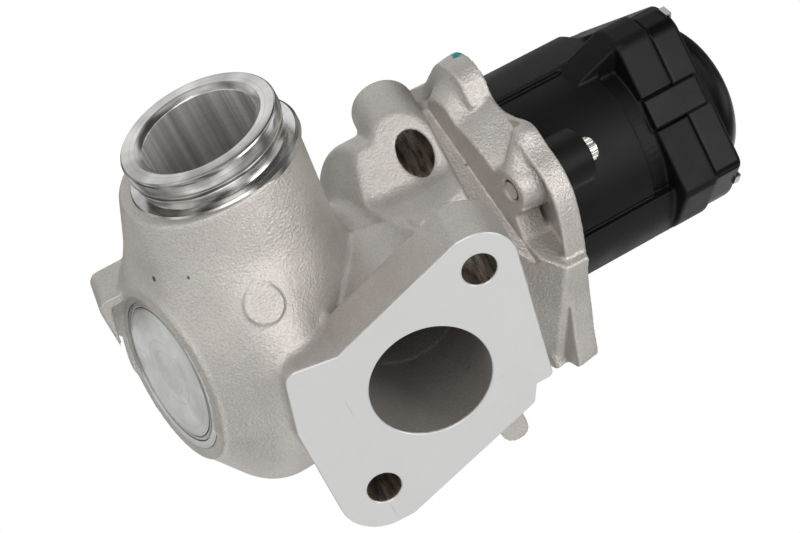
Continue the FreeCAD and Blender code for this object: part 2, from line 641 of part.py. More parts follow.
def torus(name, radius, wire, z):
    result = doc.addObject("Part::Torus", name)
    bind(result, "Radius1", radius)
    bind(result, "Radius2", wire)
    result.Placement = at(z=z)
    return result


def return_spring():
    """The round-wire spring that pulls the poppet shut."""
    start = d.spring_floor + d.spring_wire
    height = d.retainer_start - d.spring_wire - start
    body = new_body("return_spring", VALVE)
    wire = body.newObject("Sketcher::SketchObject", "Wire")
    wire.AttachmentSupport = [(plane_of(body, "XZ_Plane"), "")]
    wire.MapMode = "FlatFace"
    held_circle(wire, d.spring_mean, start, d.spring_wire)
    coil = body.newObject("PartDesign::AdditiveHelix", "Coil")
    coil.Profile = wire
    coil.ReferenceAxis = (wire, ["V_Axis"])
    coil.Mode = "pitch-height-angle"
    bind(coil, "Pitch", height / d.spring_turns)
    bind(coil, "Height", height)
    body.Tip = coil
    return body


# Actuator
def square(name, half, start, height):
    """A near square with two small and two large corner cuts, turned to the flats of the actuator."""
    side = half - d.square_less
    corners = [
        (side, half - d.corner_small), (side - d.corner_small, half), (-side + d.corner_large, half),
        (-side, half - d.corner_long), (-side, -half + d.corner_long), (-side + d.corner_large, -half),
        (side - d.corner_small, -half), (side, -half + d.corner_small),
    ]
    turn = FreeCAD.Rotation(Z_AXIS, float(d.square_angle) - 90)
    return prism(name, corners, start, height, place=at(rotation=turn))


def flat_block(name, across, width, low, high, depth, outer):
    """A block on the flat side of the square: across is its centre along the flat."""
    turn = FreeCAD.Rotation(Z_AXIS, float(d.square_angle) - 90)
    frame = at(rotation=turn)
    return box(name, (width, depth, high - low), shifted(frame, across - width / 2, outer - depth, low))


def sector(name, inner, outer, low, high, first, sweep):
    """Part of a ring between two angles."""
    body = new_body(name, at(rotation=FreeCAD.Rotation(Z_AXIS, float(first))))
    sketch = polyline(body, "XZ_Plane", [(inner, low), (outer, low), (outer, high), (inner, high)])
    feature = body.newObject("PartDesign::Revolution", "Sector")
    feature.Profile = sketch
    feature.ReferenceAxis = (sketch, ["V_Axis"])
    bind(feature, "Angle", sweep)
    body.Tip = feature
    doc.recompute()
    return body


def actuator_housing():
    """The moulded housing: barrel, square flange, screw bosses and connector shell in one piece."""
    shell = turned("housing_barrel", [(0, d.shell_start), (d.shell_radius, d.shell_start),
                                      (d.shell_radius, d.square_start), (0, d.square_start)])
    flange_height = d.square_end - d.square_start
    outside = [shell, square("housing_square", d.flange_square, d.square_start, flange_height)]
    panels = []
    for tag, angle in (("_1", d.panel_1), ("_2", d.panel_2), ("_3", d.panel_3)):
        panels.append(sector("panel" + tag, d.shell_radius - d.panel_depth, d.shell_radius + d.panel_out,
                             d.shell_start - 1, d.panel_end, angle, d.panel_sweep))
    skin = cut("housing_skin", fuse("housing_outside", outside), panels)
    solids = [skin, socket_block()]
    for tag, angle in seats():
        place = around(d.screw_ring, angle, d.plate_end)
        solids.append(rod("screw_boss" + tag, d.boss_radius, d.screw_seat - d.plate_end, place))
    tools = [turned("housing_inside", [
        (0, d.shell_start - 1), (d.shell_mouth, d.shell_start - 1),
        (d.shell_mouth, d.shell_start + d.shell_front),
        (d.ledge_radius, d.shell_start + d.shell_front), (d.ledge_radius, d.front_plate_start),
        (d.shell_radius - d.shell_wall, d.front_plate_start),
        (d.shell_radius - d.shell_wall, d.square_end + 1), (0, d.square_end + 1),
    ])]
    tools.append(socket_hollow())
    for tag, angle in seats():
        place = around(d.screw_ring, angle, d.plate_end - d.overrun)
        length = d.screw_seat - d.plate_end + d.overrun * 2
        tools.append(rod("sleeve_hole" + tag, d.sleeve_radius, length, place))
    recess = d.tab_width + d.tab_gap * 2
    tools.append(flat_block("tab_recess", d.tab_offset, recess, d.square_start - 1, d.square_end + 1,
                            d.tab_depth + 1, d.flange_square + 1))
    pins = connector_pins()
    keep(cut("actuator_housing", fuse("housing_solid", solids), tools + pins))
    keep(compound("connector_pins", pins))


def socket_frame(reach):
    """The connector's own frame on the far side: X along the valve, Y around it, Z outwards."""
    turn = FreeCAD.Rotation(Z_AXIS, Y_AXIS, X_AXIS, "ZXY")
    return shifted(around(0, d.socket_angle, 0), reach, 0, d.socket_station, turn)


def socket_outline(inset):
    half_x = d.socket_length / 2 - inset
    half_y = d.socket_height / 2 - inset
    corners = [(-half_x, -half_y), (half_x, -half_y), (half_x, half_y), (-half_x, half_y)]
    return corners, [(x, y, d.socket_round - inset) for x, y in corners]


def socket_block():
    corners, rounds = socket_outline(0)
    place = socket_frame(d.pin_root)
    return prism("socket_block", corners, 0, d.socket_reach - d.pin_root, rounds, place)


def socket_hollow():
    corners, rounds = socket_outline(d.socket_wall)
    floor = d.socket_reach - d.socket_depth
    return prism("socket_hollow", corners, 0, d.socket_depth + 1, rounds, place=socket_frame(floor))


def connector_pins():
    """Five square pins moulded through the floor of the connector."""
    pins = []
    row_frame = socket_frame(d.socket_reach - d.socket_depth - d.pin_seat)
    count = round(float(d.pins))
    for index in range(count):
        across = d.pin_pitch * (index - (count - 1) / 2)
        place = shifted(row_frame, across - d.pin_size / 2, -d.pin_size / 2)
        pins.append(box("pin_%d" % (index + 1), (d.pin_size, d.pin_size, d.socket_depth), place))
    return pins


def compound(name, pieces):
    group = doc.addObject("Part::Compound", name)
    group.Label = name
    group.Links = pieces
    return group


def mounting_hardware():
    """Three screws with splined heads, each through a steel sleeve in its boss."""
    screws, sleeves = [], []
    for tag, angle in seats():
        bottom = d.screw_lug_start + d.screw_recess
        shank = rod("shank" + tag, d.screw_shank, d.screw_seat - bottom, around(d.screw_ring, angle, bottom))
        seat = around(d.screw_ring, angle, d.screw_seat)
        collar = rod("collar" + tag, d.screw_washer, d.screw_washer_thick, seat)
        core = rod("head" + tag, d.screw_head - d.spline, d.screw_head_length, seat)
        pieces = [shank, collar, core]
        for lobe in range(round(float(d.lobes))):
            turn = math.radians(float(d.lobe_turn) * lobe)
            reach = float(d.screw_head) - float(d.spline)
            place = shifted(seat, reach * math.cos(turn), reach * math.sin(turn))
            pieces.append(rod("lobe%s_%d" % (tag, lobe), d.spline, d.screw_head_length - d.spline, place))
        screws.append(fuse("screw" + tag, pieces))
        length = d.screw_seat - d.plate_end + d.overrun * 2
        bore = rod("sleeve_bore" + tag, d.screw_shank + d.sleeve_gap, length,
                   around(d.screw_ring, angle, d.plate_end - d.overrun))
        tube = rod("sleeve_tube" + tag, d.sleeve_radius, d.screw_seat - d.plate_end,
                   around(d.screw_ring, angle, d.plate_end))
        sleeves.append(cut("sleeve" + tag, tube, [bore]))
    keep(compound("mounting_screws", screws))
    keep(compound("compression_sleeves", sleeves))


def solenoid():
    """The magnet circuit, coil and moving armature inside the housing."""
    tube_inner = d.armature_radius + d.slip
    tube_outer = tube_inner + d.tube_wall
    rear_plate_end = d.bobbin_end + d.rear_plate_thick
    keep(ring("actuator_gasket", d.gasket_inner, d.gasket_outer, d.plate_end, d.shell_start))
    keep(turned("pole_core", [
        (d.core_bore, d.front_plate_start), (tube_outer, d.front_plate_start), (tube_outer, d.core_end),
        (d.core_recess_radius, d.core_end), (d.core_recess_radius, d.core_end - d.core_recess_depth),
        (d.core_bore, d.core_end - d.core_recess_depth),
    ]))
    keep(ring("front_yoke_plate", tube_outer, d.yoke_radius, d.front_plate_start, d.bobbin_start))
    keep(ring("yoke_can", d.yoke_radius - d.yoke_wall, d.yoke_radius, d.bobbin_start, d.bobbin_end))
    keep(ring("rear_yoke_plate", tube_outer, d.yoke_radius, d.bobbin_end, rear_plate_end))
    keep(ring("armature_tube", tube_inner, tube_outer, d.core_end, d.tube_end))
    spool = tube_outer + d.bobbin_wall
    cheek = d.bobbin_cheek_thick
    keep(turned("coil_bobbin", [
        (tube_outer, d.bobbin_start), (d.bobbin_cheek, d.bobbin_start),
        (d.bobbin_cheek, d.bobbin_start + cheek), (spool, d.bobbin_start + cheek),
        (spool, d.bobbin_end - cheek), (d.bobbin_cheek, d.bobbin_end - cheek),
        (d.bobbin_cheek, d.bobbin_end), (tube_outer, d.bobbin_end),
    ]))
    keep(ring("coil_winding", spool, d.winding_radius, d.bobbin_start + cheek, d.bobbin_end - cheek))
    keep(turned("armature", [
        (d.rod_radius, d.armature_start), (d.core_recess_radius - d.air, d.armature_start),
        (d.armature_radius, d.armature_start + d.core_recess_depth), (d.armature_radius, d.armature_end),
        (d.rod_radius, d.armature_end),
    ]))
    keep(rod("push_rod", d.rod_radius, d.armature_end - d.stem_end, at(z=d.stem_end)))


def position_sensor():
    """The magnet on the armature, and the board that reads it under the cover."""
    rear_plate_end = d.bobbin_end + d.rear_plate_thick
    stalk = rod("magnet_stalk", d.plunger_radius, d.magnet_start - d.armature_end, at(z=d.armature_end))
    disc = rod("magnet_disc", d.magnet_radius, d.magnet_length, at(z=d.magnet_start))
    keep(fuse("sensor_magnet", [stalk, disc]))
    board_end = d.board_start + d.board_thick
    keep(turned("sensor_holder", [
        (d.board_radius, rear_plate_end), (d.holder_radius, rear_plate_end), (d.holder_radius, board_end),
        (d.board_radius, board_end), (d.board_radius, d.board_start),
        (d.board_radius - d.holder_ledge, d.board_start),
        (d.board_radius - d.holder_ledge, d.board_start - d.holder_ledge),
        (d.board_radius, d.board_start - d.holder_ledge),
    ]))
    keep(rod("sensor_board", d.board_radius, d.board_thick, at(z=d.board_start)))
    corner = at(-d.chip_size / 2, -d.chip_size / 2, d.board_start - d.chip_height)
    keep(box("sensor_chip", (d.chip_size, d.chip_size, d.chip_height), corner))


def end_cover():
    """The domed cover with its square flange, spigot and latch tab, its seal and its clips."""
    spigot = d.shell_radius - d.shell_wall - d.air
    flange = square("cover_square", d.cover_square, d.square_end, d.cover_join - d.square_end)
    dome = turned("cover_dome", [
        (0, d.spigot_start), (spigot, d.spigot_start), (spigot, d.square_end), (d.dome_radius, d.square_end),
        (d.dome_radius, d.dome_end), (0, d.dome_end),
    ], rounds=[(d.dome_radius, d.dome_end, d.dome_round)])
    tab = flat_block("latch_tab", d.tab_offset, d.tab_width, d.square_start, d.cover_join,
                     d.tab_depth, d.flange_square)
    inner = d.dome_radius - d.cover_wall
    hollow = turned("cover_hollow", [
        (0, d.spigot_start - 1), (spigot - d.cover_wall - d.air, d.spigot_start - 1),
        (spigot - d.cover_wall - d.air, d.cover_join - d.cover_wall), (inner, d.cover_join),
        (inner, d.dome_end - d.dome_round), (d.dome_inner_top, d.dome_end - d.cover_wall),
        (0, d.dome_end - d.cover_wall),
    ])
    groove = ring("cover_groove", d.seal_ring_radius - d.seal_ring_wire, spigot + 1,
                  d.seal_station - d.seal_groove / 2, d.seal_station + d.seal_groove / 2)
    keep(cut("end_cover", fuse("cover_solid", [flange, dome, tab]), [hollow, groove]))
    keep(torus("cover_seal", d.seal_ring_radius, d.seal_ring_wire, d.seal_station))
    keep(cover_clips())


def cover_clips():
    """Four bent spring clips, each across one corner cut of the cover's flange."""
    half = d.cover_square
    side = half - d.square_less
    near = (side + half - d.corner_small) / math.sqrt(2)
    near_offset = d.square_less / math.sqrt(2)
    slant = math.atan2(float(d.corner_long), float(d.corner_large))
    middle_x = side - d.corner_large / 2
    middle_y = half - d.corner_long / 2
    far = middle_x * math.sin(slant) + middle_y * math.cos(slant)
    far_offset = middle_x * math.cos(slant) - middle_y * math.sin(slant)
    lean = math.degrees(slant)
    flat = float(d.square_angle)
    clips = []
    corners = (
        ("_1", flat - 45, near, near_offset), ("_2", flat - 135, near, -near_offset),
        ("_3", flat + lean, far, far_offset), ("_4", flat + 180 - lean, far, -far_offset),
    )
    for tag, angle, reach, offset in corners:
        width = d.strap_width
        corner = shifted(around(0, angle, 0), y=offset - width / 2)
        plate = box("clip_plate" + tag, (d.strap_hook, width, d.strap_thick),
                    shifted(corner, reach - d.strap_hook, 0, d.cover_join))
        lip = box("clip_lip" + tag, (d.strap_thick, width, d.strap_lip + d.strap_thick),
                  shifted(corner, reach, 0, d.cover_join - d.strap_lip))
        clips.append(fuse("clip" + tag, [plate, lip]))
    return compound("cover_clips", clips)


cast_body()
valve_parts()
actuator_housing()
mounting_hardware()
solenoid()
position_sensor()
end_cover()
doc.recompute()

failed = [item.Name for item in doc.Objects if "Invalid" in item.State or "Error" in item.State]
if failed:
    raise RuntimeError("failed objects: " + ", ".join(failed))
os.makedirs("parts", exist_ok=True)
for node in NODES:
    if node.Shape.isNull() or not node.Shape.isValid():
        raise RuntimeError("bad shape: " + node.Label)
    node.Shape.exportStep("parts/%s.step" % node.Label)
    print(node.Label, len(node.Shape.Solids), round(node.Shape.Volume))
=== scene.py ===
import math
import bpy
import numpy as np
from mathutils import Matrix, Vector


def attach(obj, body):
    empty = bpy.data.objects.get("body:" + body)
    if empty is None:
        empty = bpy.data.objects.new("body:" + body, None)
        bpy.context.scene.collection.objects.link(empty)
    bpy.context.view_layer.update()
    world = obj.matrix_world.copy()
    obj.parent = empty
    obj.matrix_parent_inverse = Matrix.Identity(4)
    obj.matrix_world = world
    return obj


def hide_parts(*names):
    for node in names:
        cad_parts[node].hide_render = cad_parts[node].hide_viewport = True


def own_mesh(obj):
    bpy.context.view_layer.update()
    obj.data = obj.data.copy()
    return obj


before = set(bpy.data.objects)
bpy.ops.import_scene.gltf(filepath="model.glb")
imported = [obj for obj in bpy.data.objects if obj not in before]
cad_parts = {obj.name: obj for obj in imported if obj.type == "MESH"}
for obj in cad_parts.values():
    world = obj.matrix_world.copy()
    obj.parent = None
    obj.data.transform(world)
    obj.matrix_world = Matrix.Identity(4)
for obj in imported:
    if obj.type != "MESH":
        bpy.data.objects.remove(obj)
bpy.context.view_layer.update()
MM = 0.001

# Frames, in millimetres: the row frame of the CAD, and the valve's own frame
TURN, DIP = math.radians(19.4), math.radians(12.75)
ALONG = Vector((math.cos(DIP) * math.cos(TURN), math.cos(DIP) * math.sin(TURN), -math.sin(DIP)))
UPWARD = Vector((math.sin(DIP) * math.cos(TURN), math.sin(DIP) * math.sin(TURN), math.cos(DIP)))
AIM = Matrix((UPWARD, ALONG.cross(UPWARD), ALONG)).transposed()
CROSSING = Vector((0, 52.8, 0))
ORIGIN = CROSSING - ALONG * 60
NECK_X, NECK_Y = -21.1, 45.3
BOLT_X, BOLT_Z = 21.9, 22.2
VALVE = Matrix.Translation(ORIGIN) @ AIM.to_4x4()
ROW = Matrix.Identity(4)
NECK = Matrix.Translation((NECK_X, NECK_Y, 0))
FRONT = Matrix.Rotation(math.pi / 2, 4, "X")


def around(radius, angle, z):
    """A point of the valve frame on a ring around the valve."""
    turn = math.radians(angle)
    return VALVE @ Vector((radius * math.cos(turn), radius * math.sin(turn), z))


# Outlines
def rounded(corners):
    """A closed outline from (x, y, radius) corners, with each rounded corner as a short arc."""
    out = []
    count = len(corners)
    for index, (x, y, radius) in enumerate(corners):
        here = Vector((x, y))
        before = Vector(corners[index - 1][:2]) - here
        after = Vector(corners[(index + 1) % count][:2]) - here
        if radius <= 0:
            out.append((x, y))
            continue
        before.normalize()
        after.normalize()
        half = before.angle(after) / 2
        reach = radius / math.tan(half)
        centre = here + (before + after).normalized() * (radius / math.sin(half))
        start = here + before * reach - centre
        sweep = -(before.angle_signed(after) + (math.pi if before.angle_signed(after) < 0 else -math.pi))
        steps = max(4, int(abs(sweep) * 5 + radius))
        for step in range(steps + 1):
            turn = sweep * step / steps
            c, s = math.cos(turn), math.sin(turn)
            out.append((centre.x + start.x * c - start.y * s, centre.y + start.x * s + start.y * c))
    return out


def polar(knots):
    """A smooth closed outline through (angle, radius) knots."""
    steps = 240
    angles = np.array([k[0] for k in knots], float)
    radii = np.array([k[1] for k in knots], float)
    angles = np.concatenate([angles[-2:] - 360, angles, angles[:2] + 360])
    radii = np.concatenate([radii[-2:], radii, radii[:2]])
    turn = np.linspace(angles[2], angles[2] + 360, steps, endpoint=False)
    at = np.clip(np.searchsorted(angles, turn, side="right") - 1, 1, len(angles) - 3)
    t = (turn - angles[at]) / (angles[at + 1] - angles[at])
    span = angles[at + 1] - angles[at]
    slope_a = (radii[at + 1] - radii[at - 1]) / (angles[at + 1] - angles[at - 1]) * span
    slope_b = (radii[at + 2] - radii[at]) / (angles[at + 2] - angles[at]) * span
    r = ((2 * t**3 - 3 * t**2 + 1) * radii[at] + (t**3 - 2 * t**2 + t) * slope_a
         + (3 * t**2 - 2 * t**3) * radii[at + 1] + (t**3 - t**2) * slope_b)
    turn = np.radians(turn)
    return list(zip(r * np.cos(turn), r * np.sin(turn)))


# Distance fields: negative inside, in millimetres
def soft_min(a, b, k):
    """Joins two shapes with a blend of size k."""
    h = np.clip(0.5 + (b - a) * (0.5 / k), 0, 1)
    return b + (a - b) * h - k * h * (1 - h)


def soft_max(a, b, k):
    """The common part of two shapes, with a blend of size k."""
    return -soft_min(-a, -b, k)


def flat(u, v, outline, margin=14):
    """Signed distance to a flat outline, looked up in a fine table."""
    cell = 0.2
    points = np.array(outline, float)
    low = points.min(0) - margin
    high = points.max(0) + margin
    nu, nv = (np.ceil((high - low) / cell).astype(int) + 2)
    gu = (low[0] + cell * np.arange(nu))[:, None]
    gv = (low[1] + cell * np.arange(nv))[None, :]
    best = np.full((nu, nv), 1e9)
    inside = np.zeros((nu, nv), bool)
    for (ax, ay), (bx, by) in zip(points, np.roll(points, -1, 0)):
        ex, ey = bx - ax, by - ay
        size = ex * ex + ey * ey
        if size < 1e-12:
            continue
        t = np.clip(((gu - ax) * ex + (gv - ay) * ey) / size, 0, 1)
        best = np.minimum(best, (gu - ax - t * ex) ** 2 + (gv - ay - t * ey) ** 2)
        if ay != by:
            inside ^= ((ay > gv) != (by > gv)) & (gu < ax + (gv - ay) * ex / ey)
    table = np.where(inside, -1, 1) * np.sqrt(best)
    fu = np.clip((u - low[0]) / cell, 0, nu - 1.001)
    fv = np.clip((v - low[1]) / cell, 0, nv - 1.001)
    iu, iv = fu.astype(np.int32), fv.astype(np.int32)
    fu, fv = fu - iu, fv - iv
    t = table.astype(np.float32)
    return ((t[iu, iv] * (1 - fu) + t[iu + 1, iv] * fu) * (1 - fv)
            + (t[iu, iv + 1] * (1 - fu) + t[iu + 1, iv + 1] * fu) * fv)


def slab(w, low, high):
    """The space between two planes."""
    return np.maximum(low - w, w - high)


def rod(p, start, end, radius):
    """A round bar with flat ends."""
    start, end = Vector(start), Vector(end)
    axis = end - start
    length = axis.length
    axis.normalize()
    x, y, z = p[0] - start.x, p[1] - start.y, p[2] - start.z
    along = x * axis.x + y * axis.y + z * axis.z
    off = np.sqrt(np.maximum(x * x + y * y + z * z - along * along, 0)) - radius
    return np.maximum(off, slab(along, 0, length))


def capsule(p, start, end, radius, tip):
    """A bar with round ends that tapers to the tip's radius."""
    start, end = Vector(start), Vector(end)
    axis = end - start
    size = axis.length_squared
    x, y, z = p[0] - start.x, p[1] - start.y, p[2] - start.z
    t = np.clip((x * axis.x + y * axis.y + z * axis.z) / size, 0, 1)
    gap = np.sqrt((x - t * axis.x) ** 2 + (y - t * axis.y) ** 2 + (z - t * axis.z) ** 2)
    return gap - (radius + (tip - radius) * t)


# Meshing
def grid(low, high, step):
    """Sparse coordinates of a box, at even steps."""
    axes = [np.arange(a, b + step, step, dtype=np.float32) for a, b in zip(low, high)]
    return np.meshgrid(*axes, indexing="ij", sparse=True)


def sample(field, low, step, points):
    """Value of a field at points, by trilinear lookup."""
    shape = np.array(field.shape) - 2
    f = np.clip((points - low) / step, 0, shape + 0.999)
    i = f.astype(np.int32)
    t = f - i
    value = 0
    for corner in range(8):
        c = [(corner >> axis) & 1 for axis in range(3)]
        weight = np.prod([t[:, axis] if c[axis] else 1 - t[:, axis] for axis in range(3)], axis=0)
        value = value + weight * field[i[:, 0] + c[0], i[:, 1] + c[1], i[:, 2] + c[2]]
    return value


def slope(field, low, step, points):
    """Unit gradient of a field at points."""
    out = np.empty_like(points)
    for axis in range(3):
        shift = np.zeros(3)
        shift[axis] = step * 0.6
        out[:, axis] = sample(field, low, step, points + shift) - sample(field, low, step, points - shift)
    return out / np.maximum(np.linalg.norm(out, axis=1, keepdims=True), 1e-9)


def skin(field, low, step):
    """Surface nets: one vertex in each cell that the surface passes, one quad on each crossed edge."""
    inside = field < 0
    cells = np.zeros(np.array(field.shape) - 1, np.int8)
    for corner in range(8):
        a, b, c = [(corner >> axis) & 1 for axis in range(3)]
        cells += inside[a:a + cells.shape[0], b:b + cells.shape[1], c:c + cells.shape[2]]
    active = np.argwhere((cells > 0) & (cells < 8)).astype(np.int32)
    number = np.full(cells.shape, -1, np.int32)
    number[tuple(active.T)] = np.arange(len(active))
    total = np.zeros((len(active), 3))
    count = np.zeros(len(active))
    for axis in range(3):
        for side in range(4):
            first = np.zeros(3, np.int32)
            first[(axis + 1) % 3] = side & 1
            first[(axis + 2) % 3] = side >> 1
            second = first.copy()
            second[axis] = 1
            fa = field[tuple((active + first).T)]
            fb = field[tuple((active + second).T)]
            crossed = (fa < 0) != (fb < 0)
            t = np.where(crossed, fa / np.where(crossed, fa - fb, 1), 0)
            spot = first + np.zeros((len(active), 3))
            spot[:, axis] = t
            total += spot * crossed[:, None]
            count += crossed
    points = low + (active + total / count[:, None]) * step
    return points, crossed_edges(inside, number)


def crossed_edges(inside, number):
    """One quad on each grid edge that the surface crosses, facing outward."""
    quads = []
    for axis in range(3):
        head = [slice(1, -1)] * 3
        tail = [slice(1, -1)] * 3
        head[axis] = slice(0, -1)
        tail[axis] = slice(1, None)
        a, b = inside[tuple(head)], inside[tuple(tail)]
        spots = np.argwhere(a != b).astype(np.int32)
        outward = a[tuple(spots.T)]
        base = spots + 1
        base[:, axis] -= 1
        u, v = np.zeros(3, np.int32), np.zeros(3, np.int32)
        u[(axis + 1) % 3] = 1
        v[(axis + 2) % 3] = 1
        loop = [number[tuple((base - move).T)] for move in (u * 0, u, u + v, v)]
        quad = np.stack(loop, 1)
        quad[~outward] = quad[~outward][:, ::-1]
        quads.append(quad)
    return np.concatenate(quads)


def cast_mesh(name, shape, low, high, step, place=ROW):
    """A mesh piece from a distance field, snapped to the surface, with the field's own normals."""
    low, high = np.array(low, float), np.array(high, float)
    p = grid(low, high, step)
    field = np.broadcast_to(shape(p), [axis.size for axis in p])
    field = np.ascontiguousarray(field, dtype=np.float32)
    points, quads = skin(field, low, step)
    for _ in range(3):
        move = sample(field, low, step, points)
        points = points - slope(field, low, step, points) * np.clip(move, -step, step)[:, None] * 0.9
    normals = slope(field, low, step, points)
    mesh = bpy.data.meshes.new(name)
    mesh.vertices.add(len(points))
    mesh.vertices.foreach_set("co", (points * MM).ravel())
    mesh.loops.add(quads.size)
    mesh.loops.foreach_set("vertex_index", quads.ravel())
    mesh.polygons.add(len(quads))
    mesh.polygons.foreach_set("loop_start", np.arange(0, quads.size, 4))
    mesh.update(calc_edges=True)
    mesh.validate()
    for polygon in mesh.polygons:
        polygon.use_smooth = True
    mesh.normals_split_custom_set_from_vertices(normals.tolist())
    return add_piece(name, mesh, place)


def add_piece(name, mesh, place):
    """Links a mesh that was made in millimetres about a frame, turned and moved to its place."""
    piece = bpy.data.objects.new(name, mesh)
    bpy.context.scene.collection.objects.link(piece)
    move = place.copy()
    move.translation = move.translation * MM
    mesh.transform(move)
    mesh.update()
    return piece


def lathe(name, profile, place, sharp):
    """A ring turned from a closed profile of (radius, height) points in millimetres."""
    sides = 192
    vertices, faces = [], []
    for r, z in profile:
        for side in range(sides):
            turn = 2 * math.pi * side / sides
            vertices.append((r * math.cos(turn) * MM, r * math.sin(turn) * MM, z * MM))
    rows = len(profile)
    for row in range(rows):
        a, b = row * sides, ((row + 1) % rows) * sides
        for side in range(sides):
            nxt = (side + 1) % sides
            faces.append((a + side, a + nxt, b + nxt, b + side))
    mesh = bpy.data.meshes.new(name)
    mesh.from_pydata(vertices, [], faces)
    mesh.validate()
    soften(mesh, sharp)
    return add_piece(name, mesh, place)


def prism(name, outline, low, high, place, holes):
    """A plate from a flat outline, with round holes and a fine bevel, through a filled curve."""
    bevel, sides = 0.2, 96
    curve = bpy.data.curves.new(name, "CURVE")
    curve.dimensions = "2D"
    curve.fill_mode = "BOTH"
    loops = [outline]
    for x, y, r in holes:
        turns = [2 * math.pi * side / sides for side in range(sides)]
        loops.append([(x + r * math.cos(turn), y + r * math.sin(turn)) for turn in turns])
    for loop in loops:
        spline = curve.splines.new("POLY")
        spline.points.add(len(loop) - 1)
        for point, (x, y) in zip(spline.points, loop):
            point.co = (x * MM, y * MM, 0, 1)
        spline.use_cyclic_u = True
    curve.extrude = ((high - low) / 2 - bevel) * MM
    curve.bevel_depth = bevel * MM
    curve.bevel_resolution = 0
    curve.offset = -bevel * MM
    temp = bpy.data.objects.new(name, curve)
    bpy.context.scene.collection.objects.link(temp)
    bpy.context.view_layer.update()
    mesh = bpy.data.meshes.new_from_object(temp.evaluated_get(bpy.context.evaluated_depsgraph_get()))
    mesh.name = name
    bpy.data.objects.remove(temp)
    bpy.data.curves.remove(curve)
    mesh.transform(Matrix.Translation((0, 0, (low + high) / 2 * MM)))
    soften(mesh, 32)
    return add_piece(name, mesh, place)


def soften(mesh, angle):
    """Smooth shading, broken at edges sharper than the angle."""
    for polygon in mesh.polygons:
        polygon.use_smooth = True
    mesh.set_sharp_from_angle(angle=math.radians(angle))


# Shapes
FLANGE = rounded([
    (31.7, 32, 9.4), (31.7, 22.2, 0), (26.3, -15.6, 1.5), (21.8, -15.6, 0.6), (19.4, -20.4, 1.5),
    (-18.5, -33.5, 3), (-33.5, -33.5, 10.9), (-33.5, 4, 1), (-29.6, 21, 3.5), (-16.6, 18.8, 1),
    (19.9, 32, 3),
])
PLATE = polar([
    (-90, 40.5), (-80, 43), (-70, 40.5), (-56, 37.5), (-44, 35), (-32, 34), (-20, 34.5), (-12, 37.5),
    (-4, 41.2), (4, 41.4), (10, 39.6), (16, 35.4), (24, 34.2), (32, 36.6), (40, 41.2), (50, 41.9),
    (57, 43), (66, 43), (78, 41), (90, 39.4), (103, 39), (113, 40.2), (125, 43.6), (133, 48),
    (140, 50.8), (147, 52), (154, 52.4), (160, 51.6), (167, 48), (175, 44.5), (188, 41.5), (200, 39),
    (230, 38.5), (250, 38.5),
])
PORT_RADIUS = 15
BOLT_HOLE_RADIUS = 4.25
FLANGE_THICK = 16
DUCT_RADIUS, SLEEVE_RADIUS = 17, 20
NECK_BORE_RADIUS, THROAT_RADIUS = 14.6, 13.6
BARREL_RADIUS = 30
PAD = Vector((-25.9, 13.1, 32.4))
PAD_AIM = Vector((-0.2149, 0.7498, -0.6258))
# Heights along the valve axis: the step before the plate, the plate's front and its back
STEP, PLATE_FRONT, PLATE_BACK = 86.5, 91.5, 98
# The three screws' angles about the valve axis; the first stands free in a groove
SCREWS = (57, 177, -80)
SCREW_RING, SCREW_HOLE_RADIUS = 34, 2.7


def toward(vx, vy, angle):
    """Distance from the valve axis in one direction."""
    return vx * math.cos(math.radians(angle)) + vy * math.sin(math.radians(angle))


def from_port(x, z):
    """Distance from the port's axis."""
    return np.sqrt(x * x + z * z)


def from_neck(x, y):
    """Distance from the neck's axis."""
    return np.sqrt((x - NECK_X) ** 2 + (y - NECK_Y) ** 2)


def angle_gap(vx, vy, first, last):
    """Distance to a sector between two angles: negative within it."""
    middle = math.radians((first + last) / 2)
    half = math.radians((last - first) / 2)
    across = -vx * math.sin(middle) + vy * math.cos(middle)
    along = vx * math.cos(middle) + vy * math.sin(middle)
    return np.abs(across) * math.cos(half) - along * math.sin(half)


def from_screw(vx, vy, angle):
    """Distance from a screw's axis."""
    turn = math.radians(angle)
    return np.sqrt((vx - SCREW_RING * math.cos(turn)) ** 2 + (vy - SCREW_RING * math.sin(turn)) ** 2)


def chamber_and_neck(p, r, vz):
    """The turned chamber, the leaning neck root and the round pad on it."""
    x, y, z = p
    chamber = flat(r, vz, rounded([
        (-9, 0, 0), (23.6, 0, 0.5), (24.2, 1.2, 0.8), (36.4, 12, 12), (36.4, 22, 12), (17.8, 51, 5),
        (17.8, 57.5, 4), (BARREL_RADIUS, 64.5, 4), (BARREL_RADIUS, 94, 0), (-9, 94, 0),
    ]))
    down = np.clip((53.6 - z) / 45.6, 0, 1)
    root = np.sqrt((x + 23.1 + 10.9 * down) ** 2 + (y - 45.3 + 4.3 * down) ** 2) - (23 + 7 * down)
    root = soft_max(root * 0.96, np.maximum(slab(z, 8, 54.4), 1.0 - vz), 1.2)
    pad = rod(p, PAD, PAD + PAD_AIM * 9, 4.8)
    return soft_min(soft_min(chamber, root, 6), pad, 0.7)


def square_ear(p):
    """The square ear behind the plug."""
    x, y, z = p
    ear = flat(x + 0 * z, z + 0 * x, rounded([
        (-63.5, 14, 4), (-44, 14, 0), (-44, 31.5, 0), (-63.5, 31.5, 3)]), margin=30) + 0 * y
    return soft_max(ear, slab(y, 46, 60), 0.7)


